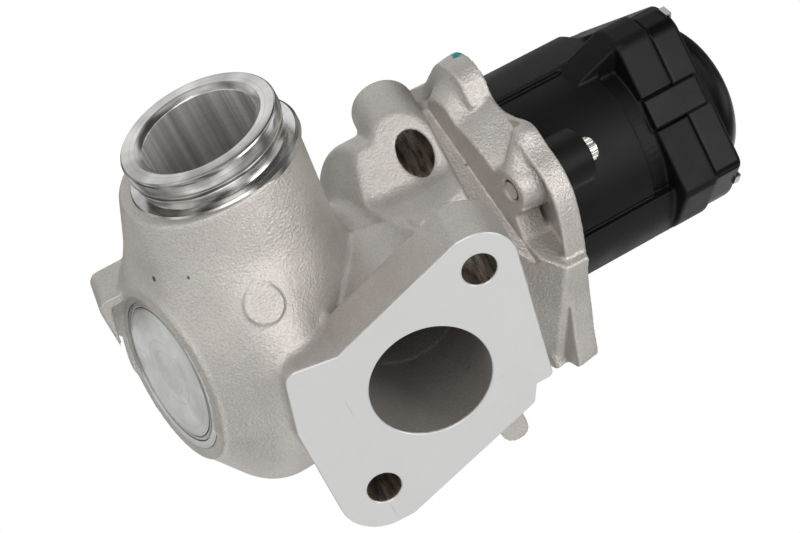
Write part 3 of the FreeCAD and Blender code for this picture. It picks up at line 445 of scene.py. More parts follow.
def screw_boss(plate, rim, valve, r, angle):
    """Adds one screw's boss to the plate; the free one stands in a groove."""
    vx, vy, vz = valve
    free = angle == SCREWS[0]
    off = from_screw(vx, vy, angle)
    inner = np.maximum(np.abs(toward(vx, vy, angle + 90)) - 6, toward(vx, vy, angle) - SCREW_RING)
    inner = np.maximum(inner, 24 - toward(vx, vy, angle))
    flare = 0.22 if free else 0.45
    nose = soft_min(off - 4.8 - np.clip(vz - STEP, 0, 6) * flare, inner, 1.5)
    if free:
        floor = 93.8 + np.clip(41 - r, 0, 10) * 0.12
        groove = soft_max(angle_gap(vx, vy, 53, 94), rim + 1.3, 0.6)
        groove = soft_max(groove, slab(vz, 80, floor), 0.6)
        plate = soft_max(plate, -groove, 0.5)
    else:
        plate = soft_min(plate, soft_max(off - 9, slab(vz, PLATE_FRONT, PLATE_BACK), 1.5), 1.0)
    return soft_min(plate, soft_max(nose, slab(vz, STEP - 0.1, PLATE_BACK), 1.2), 0.8)


def gusset_and_tail(plate, valve):
    """Adds the plate's long tail and the sloping gusset beside it."""
    vx, vy, vz = valve
    tail = np.sqrt((toward(vx, vy, 149) - 43.5) ** 2 + toward(vx, vy, 239) ** 2) - 8.4
    tail = soft_max(tail, slab(vz, 88, PLATE_BACK), 1.4)
    plate = soft_min(plate, tail, 1.5)
    out, side = toward(vx, vy, 112.8), toward(vx, vy, 202.8)
    facet = (81.6 + (out - 24) * 0.566 - vz) * 0.87
    gusset = soft_max(facet, slab(side, -15.7, 19.7), 1.0)
    gusset = soft_max(gusset, np.maximum(out - 38.8, 20 - out), 1.0)
    return soft_min(plate, soft_max(gusset, vz - PLATE_BACK + 1, 0.5), 1.0)


def actuator_plate(p, valve, r):
    """The plate that carries the actuator: rim, pockets, bosses, knob, tail, gusset and webs."""
    vx, vy, vz = valve
    rim = flat(vx, vy, PLATE)
    plate = soft_max(rim, slab(vz, PLATE_FRONT, PLATE_BACK), 0.9)
    thin = soft_max(angle_gap(vx, vy, 17, 43), 29 - r, 0.3)
    plate = soft_max(plate, -soft_max(thin, slab(vz, 80, 96.2), 1.2), 0.5)
    wall = (r - 31.2 - np.clip(vz - STEP, 0, 10) * 0.42) * 0.9
    wall = soft_max(wall, slab(vz, STEP - 0.1, PLATE_BACK - 1), 0.4)
    plate = soft_min(plate, soft_max(wall, angle_gap(vx, vy, 8, 54), 0.6), 0.5)
    for angle in SCREWS:
        plate = screw_boss(plate, rim, valve, r, angle)
    knob = capsule(p, around(33.4, 1, 98), around(27.0, 6, 85), 8.3, 5.4)
    plate = soft_min(plate, knob, 2.6)
    ridge = capsule(p, around(39.3, 42, 94.6), around(34.5, 54, 89.5), 3.0, 4.0)
    plate = soft_min(plate, ridge, 1.2)
    plate = gusset_and_tail(plate, valve)
    for angle in (148, 177, -80, -125):
        across, away = toward(vx, vy, angle + 90), toward(vx, vy, angle)
        web = np.maximum(np.abs(across) - 2, np.maximum(20 - away, away - 38 + (92 - vz) * 0.45))
        plate = soft_min(plate, np.maximum(web, slab(vz, 74, 97)), 1.5)
    return np.maximum(plate, vz - PLATE_BACK)


def bolt_lug(p):
    """The lug that the upper flange bolt passes."""
    x, y, z = p
    lug = flat(x + 0 * y, z + 0 * y, rounded([
        (12.0, 8, 0), (28.4, 8, 0), (28.4, 31.0, 8.1), (12.0, 31.0, 8.1)]))
    return soft_max(lug, slab(y, 44, 79), 1.5)


def cut_valley(body, p, valve):
    """Cuts the flat beside the bolt and the valley in front of the lug."""
    x, y, z = p
    vx, vy, vz = valve
    recess = np.maximum(22.2 - toward(vx, vy, 40), slab(vz, 72, STEP))
    recess = np.maximum(recess, 28.2 - x)
    recess = np.maximum(recess, np.abs(toward(vx, vy, 130)) - 26)
    body = soft_max(body, -recess, 0.7)
    slope_up = soft_max(17.6 - z, (y - 32 - z) * 0.7071, 1.5)
    relief = soft_max(slope_up, soft_max(slab(x, 5, 34), 19 - y, 1.0), 6.0)
    return np.maximum(soft_max(body, -relief, 1.2), vz - PLATE_BACK)


def add_flange(body, p):
    """Adds the round duct with its sleeve, the flange and the foot under it."""
    x, y, z = p
    duct = np.maximum(from_port(x, z) - DUCT_RADIUS, slab(y, 2, CROSSING.y))
    sleeve = soft_max(from_port(x, z) - SLEEVE_RADIUS, slab(y, 2, 42), 3)
    duct = soft_min(duct, sleeve, 1)
    flange = soft_max(flat(x + 0 * y, z + 0 * y, FLANGE) + 0.1, slab(y, -3, FLANGE_THICK), 1.4)
    body = soft_min(body, duct, 1.6)
    body = soft_min(body, flange, 2)
    foot = np.sqrt((x - 12.2) ** 2 + np.maximum(-29.9 - z, 0) ** 2 + 0 * y) - 3.5
    foot = np.maximum(np.maximum(foot, slab(y, 6, 15)), z + 15)
    return soft_min(body, foot, 1.2)


def open_up(body, p, r, vz):
    """Cuts the gas ways, the neck's bore, the bolt holes and the screws' holes."""
    x, y, z = p
    gas = flat(r, vz, [
        (-9, -4), (20.5, -4), (20.5, 4), (18.4, 4), (26, 11), (26, 26), (16.5, 35), (16.5, 41),
        (13, 41), (13, 43), (16, 46), (16, 74), (10.5, 74), (10.5, 70), (7, 70), (7, 87), (8.2, 87),
        (8.2, 91), (10, 91), (10, 86), (14.4, 86), (14.4, 102), (-9, 102),
    ])
    port = np.maximum(from_port(x, z) - PORT_RADIUS, slab(y, -3, 30))
    throat = from_port(x, z) - PORT_RADIUS + np.clip(y - 30, 0, 20) * 0.1
    throat = np.maximum(throat, slab(y, -3, CROSSING.y))
    body = np.maximum(body, -soft_min(gas, soft_min(port, throat, 1), 4))
    bore = np.maximum(from_neck(x, y) - THROAT_RADIUS, slab(z, 26, 70))
    target = VALVE @ Vector((0, 0, 20))
    elbow_end = (NECK_X + (target.x - NECK_X) * 0.99, NECK_Y + (target.y - NECK_Y) * 0.99, 8)
    elbow = rod(p, (NECK_X, NECK_Y, 34), elbow_end, 10)
    body = np.maximum(body, -soft_min(bore, elbow, 2))
    seat = np.maximum(from_neck(x, y) - NECK_BORE_RADIUS - 0.7, slab(z, 43.9, 70))
    body = np.maximum(body, -seat)
    upper = rod(p, (BOLT_X, -3, BOLT_Z), (BOLT_X, 90, BOLT_Z), BOLT_HOLE_RADIUS)
    body = soft_max(body, -upper, 0.7)
    lower = rod(p, (-BOLT_X, -3, -BOLT_Z), (-BOLT_X, 22, -BOLT_Z), BOLT_HOLE_RADIUS)
    body = np.maximum(body, -lower)
    for angle in SCREWS:
        hole = rod(p, around(SCREW_RING, angle, 80), around(SCREW_RING, angle, 100), SCREW_HOLE_RADIUS)
        body = soft_max(body, np.clip(87.3 - vz, 0, 1) * 0.9 - hole, 0.3)
    return body


def casting(p):
    """The cast body as one smooth distance field, in the row frame."""
    x, y, z = p
    q = VALVE.inverted()
    valve = [q[row][0] * x + q[row][1] * y + q[row][2] * z + q[row][3] for row in range(3)]
    r = np.sqrt(valve[0] * valve[0] + valve[1] * valve[1])
    body = chamber_and_neck(p, r, valve[2])
    body = soft_min(body, square_ear(p), 1.2)
    body = soft_min(body, bolt_lug(p), 1.6)
    body = soft_min(body, actuator_plate(p, valve, r), 1.2)
    body = cut_valley(body, p, valve)
    body = add_flange(body, p)
    body = open_up(body, p, r, valve[2])
    return np.maximum(body, 0.4 - y)


# The actuator's square flange: its turn, its heights and its snap tab's place
SQUARE = math.radians(62)
SQUARE_LOW, SQUARE_HIGH = 133, 143
TAB_PLACE = 2.5
SOCKET_TURN, SOCKET_HEIGHT = -125, 113


def squared(u, v, half, edge):
    """The actuator's square: short cuts on the two corners to the right, long cuts on the others."""
    d = np.maximum(np.abs(u) - (half - 1), np.abs(v) - half)
    short = (u + np.abs(v) - (2 * half - 1 - 5.4)) * 0.7071
    long = (-12.5 * (u + half - 1 - 7) + 7 * (np.abs(v) - half)) / 14.33
    return soft_max(soft_max(d, short, edge), long, edge)


def square_axes(x, y):
    """Along the flat, and out of it."""
    return x * math.sin(SQUARE) - y * math.cos(SQUARE), x * math.cos(SQUARE) + y * math.sin(SQUARE)


def windowed_barrel(x, y, z, r):
    """The barrel with three sunken windows, each with a fine edge line and a band beside the square."""
    barrel = soft_max(r - 29.3, slab(z, 99, SQUARE_LOW), 0.6)
    for first in (12, 132, 252):
        window = angle_gap(x, y, first, first + 85)
        panel = np.maximum(soft_max(window, slab(z, 90, 128), 0.8), 28.4 - r)
        band = np.maximum(soft_max(window - 0.6, slab(z, 127.6, 134), 1.2), 26.8 - r)
        edge = np.maximum(np.maximum(np.abs(window) - 0.5, slab(z, 90, 128)), 27.9 - r)
        barrel = soft_max(soft_max(barrel, -np.minimum(panel, edge), 0.4), -band, 0.5)
    return barrel


def ramp_to_square(x, y, z, r):
    """The narrow ramp that rises from the barrel to the square."""
    ramp = np.maximum(r - 29 - (z - 122) * 0.48, squared(*square_axes(x, y), 27.8, 1.5))
    ramp = np.maximum(ramp, np.abs(toward(x, y, 107)) - 4)
    return np.maximum(ramp, np.maximum(slab(z, 121, 134), -toward(x, y, 17)))


def screw_ear(x, y, z, r, angle):
    """One screw's round ear, with its web to the barrel."""
    inner = np.abs(toward(x, y, angle - 90)) - 6.6
    web = np.maximum(np.maximum(inner, r - SCREW_RING), 25 - toward(x, y, angle))
    return soft_max(soft_min(from_screw(x, y, angle) - 7.4, web, 0.8), slab(z, 98, 107.5), 0.7)


def add_socket(solid, x, y, z):
    """Adds the connector's socket and cuts its hollow."""
    across = z - SOCKET_HEIGHT
    lift = toward(x, y, SOCKET_TURN + 90)
    reach = toward(x, y, SOCKET_TURN)
    outer = soft_max(np.abs(across) - 12.5, np.abs(lift) - 6.5, 2.5)
    solid = soft_min(solid, soft_max(outer, slab(reach, 24, 50), 0.6), 1.0)
    hollow = soft_max(np.abs(across) - 10.7, np.abs(lift) - 4.7, 1.5)
    return np.maximum(solid, -np.maximum(hollow, slab(reach, 36, 60)))


def solenoid_room(r, z):
    """The stepped bore that holds the solenoid."""
    room = np.maximum(r - 26.1, slab(z, 106.5, 150))
    room = np.minimum(room, np.maximum(r - 23, slab(z, 101.4, 110)))
    return np.minimum(room, np.maximum(r - 15.4, slab(z, 90, 110)))


def housing(p):
    """The moulded actuator housing, in the valve frame."""
    x, y, z = p
    r = np.sqrt(x * x + y * y)
    u, v = square_axes(x, y)
    square = soft_max(squared(u, v, 28, 1.5), slab(z, SQUARE_LOW, SQUARE_HIGH), 0.8)
    solid = soft_min(windowed_barrel(x, y, z, r), square, 1.0)
    solid = soft_min(solid, ramp_to_square(x, y, z, r), 1.0)
    for angle in SCREWS:
        solid = soft_min(solid, screw_ear(x, y, z, r, angle), 0.8)
    solid = add_socket(solid, x, y, z)
    solid = np.maximum(solid, -solenoid_room(r, z))
    notch = np.maximum(np.maximum(np.abs(u - TAB_PLACE) - 4.45, 26.6 - v), slab(z, 132, 150))
    solid = np.maximum(solid, -notch)
    for angle in SCREWS:
        solid = np.maximum(solid, 3.4 - from_screw(x, y, angle))
    return solid


def cover(p):
    """The domed end cover, in the valve frame."""
    x, y, z = p
    r = np.sqrt(x * x + y * y)
    u, v = square_axes(x, y)
    beyond = np.maximum(r - 11.5, 0)
    flange = soft_max(squared(u, v, 27.2, 1.6), slab(z, 143.15, 152), 1.2)
    dome = np.maximum(np.sqrt(beyond ** 2 + np.maximum(z - 152.8, 0) ** 2) - 11.5, 140 - z)
    solid = soft_min(flange, dome, 1.5)
    tab = soft_max(np.abs(u - TAB_PLACE) - 4, slab(v, 26.8, 28.1), 0.4)
    solid = soft_min(solid, soft_max(tab, slab(z, 133.2, 150), 0.5), 0.3)
    spigot = np.maximum(r - 25.8, slab(z, 139, 146))
    solid = np.minimum(solid, spigot)
    hollow = np.sqrt(beyond ** 2 + np.maximum(z - 152, 0) ** 2) - 9
    hollow = np.minimum(np.maximum(r - 22.9, slab(z, 130, 149.4)), hollow)
    return np.maximum(solid, -np.maximum(hollow, 130 - z))


# Materials
class Nodes:
    """A small helper that builds a material's node tree."""

    def __init__(self, name):
        self.material = bpy.data.materials.new(name)
        self.material.use_nodes = True
        self.tree = self.material.node_tree
        self.shader = self.tree.nodes["Principled BSDF"]

    def add(self, kind, **inputs):
        """Adds a node and sets or links the named inputs."""
        node = self.tree.nodes.new(kind)
        for key, value in inputs.items():
            key = key.replace("_", " ")
            if isinstance(value, bpy.types.NodeSocket):
                self.tree.links.new(value, node.inputs[key])
            else:
                node.inputs[key].default_value = value
        return node

    def link(self, out, socket):
        self.tree.links.new(out, self.shader.inputs[socket])

    def noise(self, scale, detail, rough, vector=None):
        node = self.add("ShaderNodeTexNoise", Scale=scale, Detail=detail, Roughness=rough)
        self.tree.links.new(vector or self.place(), node.inputs["Vector"])
        return node.outputs["Fac"]

    def place(self):
        if not hasattr(self, "_place"):
            self._place = self.tree.nodes.new("ShaderNodeTexCoord").outputs["Object"]
        return self._place

    def ramp(self, value, stops):
        node = self.tree.nodes.new("ShaderNodeValToRGB")
        self.tree.links.new(value, node.inputs["Fac"])
        ramp = node.color_ramp
        while len(ramp.elements) < len(stops):
            ramp.elements.new(0.5)
        for element, (at, color) in zip(ramp.elements, stops):
            element.position = at
            element.color = (*color, 1)
        return node.outputs["Color"]

    def grey(self, value, stops):
        """A ramp of greys."""
        return self.ramp(value, [(at, (level,) * 3) for at, level in stops])

    def bump(self, height, distance, strength, normal=None):
        node = self.add("ShaderNodeBump", Height=height, Distance=distance, Strength=strength)
        if normal is not None:
            self.tree.links.new(normal, node.inputs["Normal"])
        return node.outputs["Normal"]

    def math(self, kind, a, b=None):
        node = self.tree.nodes.new("ShaderNodeMath")
        node.operation = kind
        for socket, value in zip(node.inputs, (a, b)):
            if isinstance(value, bpy.types.NodeSocket):
                self.tree.links.new(value, socket)
            elif value is not None:
                socket.default_value = value
        return node.outputs["Value"]

    def mix(self, fac, a, b):
        node = self.tree.nodes.new("ShaderNodeMix")
        node.data_type = "RGBA"
        colour = [s for s in node.inputs if s.type == "RGBA"]
        factor = [s for s in node.inputs if s.type == "VALUE"][0]
        for socket, value in ((factor, fac), (colour[0], a), (colour[1], b)):
            if isinstance(value, bpy.types.NodeSocket):
                self.tree.links.new(value, socket)
            else:
                socket.default_value = value if isinstance(value, float) else (*value, 1)
        return [s for s in node.outputs if s.type == "RGBA"][0]

    def near(self, spot, size):
        """0 within a ragged spot about a point, 1 outside it."""
        gap = self.tree.nodes.new("ShaderNodeVectorMath")
        gap.operation = "DISTANCE"
        self.tree.links.new(self.place(), gap.inputs[0])
        gap.inputs[1].default_value = tuple(v * MM for v in spot)
        ragged = self.math("ADD", self.math("DIVIDE", gap.outputs["Value"], size * MM),
                           self.math("MULTIPLY", self.noise(900, 3, 0.6), 0.9))
        return self.grey(ragged, [(0.93, 0.0), (1.0, 1.0)])

    def off_axis(self, x, z, radius):
        """0 within a round hole along Y, 1 outside it."""
        split = self.tree.nodes.new("ShaderNodeSeparateXYZ")
        self.tree.links.new(self.place(), split.inputs["Vector"])
        u = self.math("SUBTRACT", split.outputs["X"], x * MM)
        v = self.math("SUBTRACT", split.outputs["Z"], z * MM)
        return self.math("GREATER_THAN", self.length(u, v), radius * MM)

    def length(self, u, v):
        """Length of a flat vector."""
        squares = self.math("ADD", self.math("MULTIPLY", u, u), self.math("MULTIPLY", v, v))
        return self.math("SQRT", squares)

    def times(self, a, b):
        """Product of two colours."""
        node = self.tree.nodes.new("ShaderNodeVectorMath")
        node.operation = "MULTIPLY"
        self.tree.links.new(a, node.inputs[0])
        self.tree.links.new(b, node.inputs[1])
        return node.outputs["Vector"]

    def set(self, **values):
        """Sets inputs of the shader."""
        for key, value in values.items():
            self.shader.inputs[key.replace("_", " ")].default_value = value


def cast_aluminium(name="cast_aluminium", shade=1.0, marks=()):
    """Blasted casting skin: leathery grain, soft clouds, a few dark pits; painted shade inside the bolt
    holes, and a shade factor below 1 that darkens the whole tone to paint shade in bores.
    """
    n = Nodes(name)
    grain = n.noise(1500, 3, 0.6)
    lumps = n.noise(360, 2, 0.5)
    cloud = n.noise(60, 3, 0.6)
    tone = n.ramp(cloud, [(0.3, tuple(shade * c for c in (0.54, 0.51, 0.475))),
                          (0.7, tuple(shade * c for c in (0.62, 0.59, 0.55)))])
    fine = n.grey(n.noise(2300, 3, 0.6), [(0.32, 0.84), (0.5, 0.98), (0.68, 1.06)])
    speck = n.grey(n.noise(260, 2, 0.4), [(0.17, 0.35), (0.20, 1.0)])
    colour = n.times(n.times(tone, fine), speck)
    # Inside the bolt holes the colour turns very dark: painted shade in the holes, laid over the drilling
    # streaks.
    stretch = n.tree.nodes.new("ShaderNodeMapping")
    n.tree.links.new(n.place(), stretch.inputs["Vector"])
    stretch.inputs["Scale"].default_value = (1.0, 0.12, 1.0)
    streaks = n.noise(900, 3, 0.6, stretch.outputs["Vector"])
    drilled_streaks_painted_shade = n.ramp(streaks, [(0.38, (0.05, 0.04, 0.03)), (0.62, (0.26, 0.21, 0.16))])
    for sign in (1, -1):
        hole = n.off_axis(sign * BOLT_X, sign * BOLT_Z, BOLT_HOLE_RADIUS + 0.15)
        colour = n.mix(hole, drilled_streaks_painted_shade, colour)
    for spot, size, tint in marks:
        colour = n.mix(n.near(spot, size), tint, colour)
    n.link(colour, "Base Color")
    n.set(Metallic=0.7)
    n.link(n.grey(cloud, [(0.3, 0.40), (0.7, 0.50)]), "Roughness")
    rough = n.bump(lumps, 0.00016, 0.5)
    n.link(n.bump(grain, 0.00027, 1.0, rough), "Normal")
    return n.material


def machined(name, tone, rough, place, rings, bars, streak=0.0, lines=0.1, metallic=1.0):
    """Turned metal: fine rings about a frame's Z axis, with wide darker bars around it that paint
    reflection streaks, and thin lines.
    """
    n = Nodes(name)
    inverse = place.inverted()
    mapping = n.tree.nodes.new("ShaderNodeMapping")
    n.tree.links.new(n.place(), mapping.inputs["Vector"])
    mapping.inputs["Location"].default_value = inverse.translation * MM
    mapping.inputs["Rotation"].default_value = inverse.to_euler()
    split = n.tree.nodes.new("ShaderNodeSeparateXYZ")
    n.tree.links.new(mapping.outputs["Vector"], split.inputs["Vector"])
    x, y, z = split.outputs
    radius = n.length(x, y)
    line = n.math("ADD", n.math("MULTIPLY", radius, rings), n.math("MULTIPLY", z, rings))
    combine = n.tree.nodes.new("ShaderNodeCombineXYZ")
    n.tree.links.new(line, combine.inputs["X"])
    wave = n.noise(1.0, 2, 0.5, combine.outputs["Vector"])
    cloud = n.noise(120, 3, 0.6)
    turn = n.tree.nodes.new("ShaderNodeCombineXYZ")
    n.tree.links.new(n.math("DIVIDE", x, radius), turn.inputs["X"])
    n.tree.links.new(n.math("DIVIDE", y, radius), turn.inputs["Y"])
    # Darker bars by angle round the axis: painted reflection streaks.
    bar_scale, bar_depth = bars
    painted_reflection_bands = n.noise(bar_scale, 2, 0.5, turn.outputs["Vector"])
    painted_reflection_bands = n.grey(painted_reflection_bands, [(0.36, 1 - bar_depth), (0.62, 1.0)])
    thin = n.tree.nodes.new("ShaderNodeCombineXYZ")
    n.tree.links.new(n.math("MULTIPLY", line, 0.14), thin.inputs["Y"])
    marks = n.grey(n.noise(1.0, 1, 0.5, thin.outputs["Vector"]), [(0.34, 1 - lines), (0.40, 1.0)])
    colour = n.ramp(wave, [(0.3, tuple(0.86 * c for c in tone)), (0.7, tone)])
    n.link(n.times(n.times(colour, painted_reflection_bands), marks), "Base Color")
    n.set(Metallic=metallic)
    n.link(n.grey(cloud, [(0.35, rough * 0.8), (0.7, rough * 1.25)]), "Roughness")
    n.link(n.bump(wave, 0.00002, 0.5), "Normal")
    if streak:
        tangent = n.tree.nodes.new("ShaderNodeTangent")
        tangent.direction_type = "RADIAL"
        tangent.axis = "Z"
        n.link(tangent.outputs["Tangent"], "Tangent")
        n.set(Anisotropic=streak)
    return n.material


def milled(name, tone):
    """Milled face: an even matt grey with thin scratches and a few specks."""
    n = Nodes(name)
    cloud = n.noise(70, 3, 0.6)
    mapping = n.tree.nodes.new("ShaderNodeMapping")
    n.tree.links.new(n.place(), mapping.inputs["Vector"])
    mapping.inputs["Rotation"].default_value = (0, 0.5, 0)
    mapping.inputs["Scale"].default_value = (1.0, 1.0, 0.04)
    scratch = n.grey(n.noise(1100, 2, 0.5, mapping.outputs["Vector"]), [(0.25, 0.80), (0.30, 1.0)])
    speck = n.grey(n.noise(300, 2, 0.4), [(0.19, 0.45), (0.215, 1.0)])
    colour = n.ramp(cloud, [(0.3, tuple(c * 0.94 for c in tone)), (0.7, tone)])
    n.link(n.times(n.times(colour, scratch), speck), "Base Color")
    n.set(Metallic=0.45)
    n.link(n.grey(cloud, [(0.3, 0.36), (0.7, 0.46)]), "Roughness")
    n.link(n.bump(n.noise(1400, 3, 0.6), 0.00003, 0.5), "Normal")
    return n.material


def brushed(name, tone, metallic, rough, rough_high, grain_scale, depth, shine=0.5):
    """A plain metal, plastic or rubber with a fine grain."""
    n = Nodes(name)
    grain = n.noise(grain_scale, 4, 0.6)
    cloud = n.noise(90, 3, 0.6)
    n.link(n.ramp(cloud, [(0.3, tuple(c * 0.85 for c in tone)), (0.7, tone)]), "Base Color")
    n.set(Metallic=metallic, Specular_IOR_Level=shine)
    n.link(n.grey(cloud, [(0.3, rough), (0.7, rough_high)]), "Roughness")
    n.link(n.bump(grain, depth, 0.4), "Normal")
    return n.material


MARKS = [
    ((42.1, 68.3, 32.3), 3.0, (0.0, 0.30, 0.27)),
    ((-46.2, 30.7, 41.2), 1.5, (0.08, 0.07, 0.065)),
    ((-38.6, 23.1, 42.2), 1.2, (0.16, 0.15, 0.14)),
]
CAST = cast_aluminium(marks=MARKS)
# The neck's cored bore and the port's wall are the same casting darkened by the shade factor: painted
# shade inside them.
SHADED_CORE = cast_aluminium("cored_aluminium_painted_shade", 0.42)
SHADED_PORT_WALL = cast_aluminium("port_wall_painted_shade", 0.78)
FACE = milled("milled_face", (0.63, 0.63, 0.625))
TURNED_NECK = machined("turned_neck", (0.74, 0.73, 0.71), 0.2, NECK, 9000, (1.5, 0.45), streak=0.6)
# The neck's bore is a brighter copy of the turned metal: painted light inside the bore.
NECK_BORE = machined("bored_neck_painted_light", (0.95, 0.93, 0.90), 0.36, NECK, 9000, (5.0, 0.5), metallic=0.6)
TURNED_VALVE = machined("turned_valve", (0.78, 0.79, 0.77), 0.34, VALVE, 7000, (1.5, 0.1), lines=0.14)
BLACK = brushed("black_plastic", (0.005, 0.005, 0.0048), 0.0, 0.40, 0.52, 2600, 0.00004, 0.18)
GLOSS = brushed("gloss_plastic", (0.004, 0.004, 0.0042), 0.0, 0.22, 0.30, 1200, 0.00001, 0.13)
STEEL = brushed("steel", (0.56, 0.55, 0.54), 1.0, 0.24, 0.36, 1500, 0.00002)
ZINC = brushed("zinc_steel", (0.78, 0.76, 0.72), 1.0, 0.26, 0.38, 1500, 0.00003)
RUBBER = brushed("seal_rubber", (0.02, 0.02, 0.02), 0.0, 0.55, 0.7, 1500, 0.00004)
COPPER = brushed("copper_wire", (0.72, 0.33, 0.17), 1.0, 0.3, 0.4, 1500, 0.00003)
BRASS = brushed("plated_brass", (0.80, 0.66, 0.38), 1.0, 0.25, 0.35, 1500, 0.00002)
BRONZE = brushed("bronze", (0.60, 0.42, 0.25), 1.0, 0.35, 0.45, 1500, 0.00002)
IVORY = brushed("bobbin_plastic", (0.60, 0.57, 0.50), 0.0, 0.45, 0.55, 1500, 0.00003)
BOARD = brushed("circuit_board", (0.03, 0.20, 0.09), 0.0, 0.35, 0.45, 1500, 0.00002)
MAGNET = brushed("magnet", (0.22, 0.22, 0.23), 0.8, 0.4, 0.5, 1500, 0.00002)

LOOKS = {
    "body_casting": CAST, "closing_plug": TURNED_VALVE, "plug_snap_ring": STEEL,
    "valve_seat": STEEL, "valve_poppet": STEEL, "valve_stem": STEEL, "stem_guide": BRONZE,
    "stem_seal": RUBBER, "seal_washer": STEEL, "return_spring": STEEL, "spring_retainer": STEEL,
    "actuator_housing": BLACK, "end_cover": GLOSS, "cover_seal": RUBBER, "cover_clips": STEEL,
    "mounting_screws": ZINC, "compression_sleeves": ZINC, "actuator_gasket": RUBBER,
    "connector_pins": BRASS, "pole_core": STEEL, "front_yoke_plate": ZINC, "yoke_can": ZINC,
    "rear_yoke_plate": ZINC, "armature_tube": STEEL, "coil_bobbin": IVORY, "coil_winding": COPPER,
    "armature": STEEL, "push_rod": STEEL, "sensor_magnet": MAGNET, "sensor_holder": IVORY,
    "sensor_board": BOARD, "sensor_chip": BLACK,
}


def dress(piece, *materials):
    """Gives a piece its materials."""
    piece.data.materials.clear()
    for material in materials:
        piece.data.materials.append(material)
    return piece


for node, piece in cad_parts.items():
    dress(piece, LOOKS[node])
    if node == "return_spring":
        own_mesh(piece)


# Pieces
def stand_in(piece, slot, *nodes):
    """Fixes a piece to the housing body, in place of the named CAD nodes."""
    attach(piece, "housing")
    if nodes:
        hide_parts(*nodes)
    return piece


def paint(piece, *tests):
    """Gives the faces that pass a test the material of the test's place in the list."""
    count = len(piece.data.polygons)
    centres = np.empty(count * 3)
    piece.data.polygons.foreach_get("center", centres)
    x, y, z = centres.reshape(-1, 3).T / MM
    index = np.zeros(count, np.int32)
    for number, test in enumerate(tests, start=1):
        index[test(x, y, z)] = number
    piece.data.polygons.foreach_set("material_index", index)


def in_neck(x, y, z):
    """The neck's cored bore in the casting."""
    return (from_neck(x, y) < NECK_BORE_RADIUS + 0.9) & (z > 20) & (z < 50)


def in_port(x, y, z):
    """The port's wall in the casting."""
    return (from_port(x, z) < PORT_RADIUS + 0.4) & (y > 1.2) & (y < 50)


def in_ring(x, y, z):
    """The bore of the neck's machined ring."""
    return from_neck(x, y) < NECK_BORE_RADIUS + 0.08


body = cast_mesh("casting", casting, (-70, -1, -40), (56, 108, 60), 0.55)
# The neck's bore and the port's wall take the darker copies of the casting, which paint their shade.
dress(body, CAST, SHADED_CORE, SHADED_PORT_WALL)
paint(body, in_neck, in_port)
stand_in(body, "cast_aluminium", "body_casting")

face = prism("flange_face", FLANGE, -0.5, 0, FRONT, [
    (0, 0, PORT_RADIUS + 0.1),
    (BOLT_X, BOLT_Z, BOLT_HOLE_RADIUS + 0.05),
    (-BOLT_X, -BOLT_Z, BOLT_HOLE_RADIUS + 0.05),
])
dress(face, FACE)
stand_in(face, "machined_aluminium")

ring = lathe("neck_ring", [
    (NECK_BORE_RADIUS, 43.7), (NECK_BORE_RADIUS, 62.45), (14.7, 62.6), (16.2, 63.6), (16.4, 63.7),
    (19.1, 63.7), (19.6, 63.6), (19.9, 63.35), (20.05, 63.0), (20.1, 62.4), (20.1, 60.2), (20.0, 59.6),
    (19.8, 59.2), (19.4, 59.0), (18.8, 58.95), (18.7, 58.85), (18.7, 58.0), (18.85, 57.9),
    (19.3, 57.85), (19.4, 57.75), (19.4, 57.35), (19.3, 57.25), (18.8, 57.15), (18.7, 57.0),
    (18.7, 55.1), (18.8, 54.85), (19.1, 54.8), (21.3, 54.8), (22.0, 54.1), (22.0, 52.6),
    (17, 50), (16, 43.7),
], NECK, 24)
# The ring's bore takes the brighter copy, with its painted light.
dress(ring, TURNED_NECK, NECK_BORE)
paint(ring, in_ring)
stand_in(ring, "machined_aluminium")

shell = cast_mesh("housing_shell", housing, (-44, -52, 97), (44, 46, 145), 0.42, VALVE)
dress(shell, BLACK)
stand_in(shell, "black_plastic", "actuator_housing")

cap = cast_mesh("end_cap", cover, (-40, -40, 131), (40, 40, 166), 0.36, VALVE)
dress(cap, GLOSS)
stand_in(cap, "gloss_black_plastic", "end_cover")

# Camera: the place and lens found from the picture's ellipses
eye = Vector((10.0, -553.5, 434.2)) * MM
camera_data = bpy.data.cameras.new("camera")
camera_data.lens = 135
camera_data.sensor_width = 36
camera_data.clip_start = 0.05
camera_data.clip_end = 10
camera = bpy.data.objects.new("camera", camera_data)
bpy.context.scene.collection.objects.link(camera)
right = Vector((0.8859, -0.2678, -0.3786))
up = Vector((0.4638, 0.5217, 0.7161))
back = Vector((0.0058, -0.81, 0.5864))
turn = Matrix((right, up, back)).transposed()
camera.matrix_world = Matrix.Translation(eye) @ turn.to_4x4()
bpy.context.scene.camera = camera


# Light
MIDDLE = Vector((0.01, 0.05, 0.005))
LAMP_SIZE, LAMP_DISTANCE = 0.45, 0.8


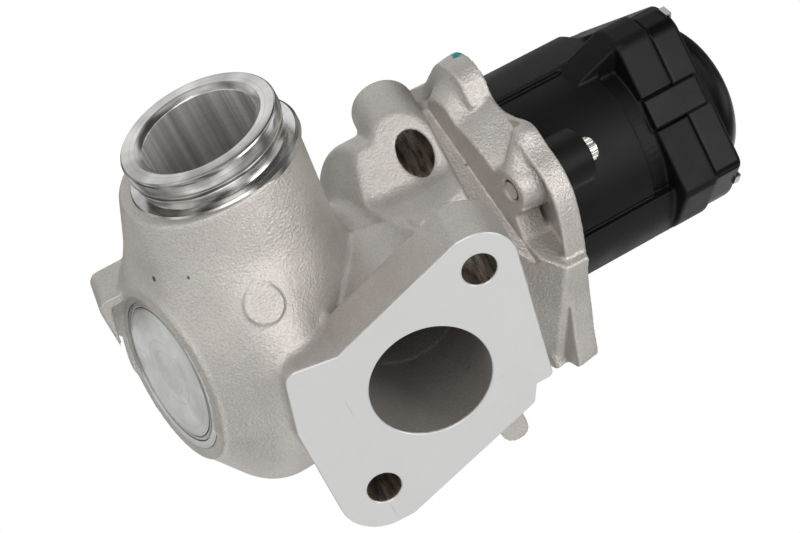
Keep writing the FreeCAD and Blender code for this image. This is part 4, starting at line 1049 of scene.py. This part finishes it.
def softbox(name, across, rise, near, power):
    """A square lamp aimed at the valve, placed by the camera's own directions."""
    toward_lamp = (right * across + up * rise + back * near).normalized()
    data = bpy.data.lights.new(name, "AREA")
    data.shape = "RECTANGLE"
    data.size = LAMP_SIZE
    data.size_y = LAMP_SIZE
    data.energy = power
    light = bpy.data.objects.new(name, data)
    bpy.context.scene.collection.objects.link(light)
    light.location = MIDDLE + toward_lamp * LAMP_DISTANCE
    light.rotation_euler = (MIDDLE - light.location).to_track_quat("-Z", "Y").to_euler()


softbox("key", 0.7, 0.1, 0.7, 2.1)
softbox("front", -0.15, 0.15, 1.0, 1.6)
softbox("left", -0.9, -0.3, 0.5, 0.5)
softbox("low_right", 0.6, -0.6, 0.6, 0.5)
softbox("low", 0, -1.0, 0.2, 0.5)

# Surroundings: soft light and dark fields in the reflections, and a white backdrop for the camera
world = bpy.data.worlds.new("studio")
bpy.context.scene.world = world
world.use_nodes = True
tree = world.node_tree
background = tree.nodes["Background"]
background.inputs["Strength"].default_value = 1.0
direction = tree.nodes.new("ShaderNodeTexCoord")
fields = tree.nodes.new("ShaderNodeTexNoise")
fields.inputs["Scale"].default_value = 1.9
fields.inputs["Detail"].default_value = 1.0
levels = tree.nodes.new("ShaderNodeValToRGB")
levels.color_ramp.elements[0].position = 0.40
levels.color_ramp.elements[0].color = (0.08, 0.08, 0.08, 1)
levels.color_ramp.elements[1].position = 0.60
levels.color_ramp.elements[1].color = (1.05, 1.05, 1.05, 1)
tree.links.new(direction.outputs["Generated"], fields.inputs["Vector"])
tree.links.new(fields.outputs["Fac"], levels.inputs["Fac"])
tree.links.new(levels.outputs["Color"], background.inputs["Color"])
backdrop = tree.nodes.new("ShaderNodeBackground")
backdrop.inputs["Color"].default_value = (1, 1, 1, 1)
backdrop.inputs["Strength"].default_value = 1.0
path = tree.nodes.new("ShaderNodeLightPath")
join = tree.nodes.new("ShaderNodeMixShader")
tree.links.new(path.outputs["Is Camera Ray"], join.inputs["Fac"])
tree.links.new(background.outputs["Background"], join.inputs[1])
tree.links.new(backdrop.outputs["Background"], join.inputs[2])
tree.links.new(join.outputs["Shader"], tree.nodes["World Output"].inputs["Surface"])
bpy.context.scene.view_settings.view_transform = "Standard"
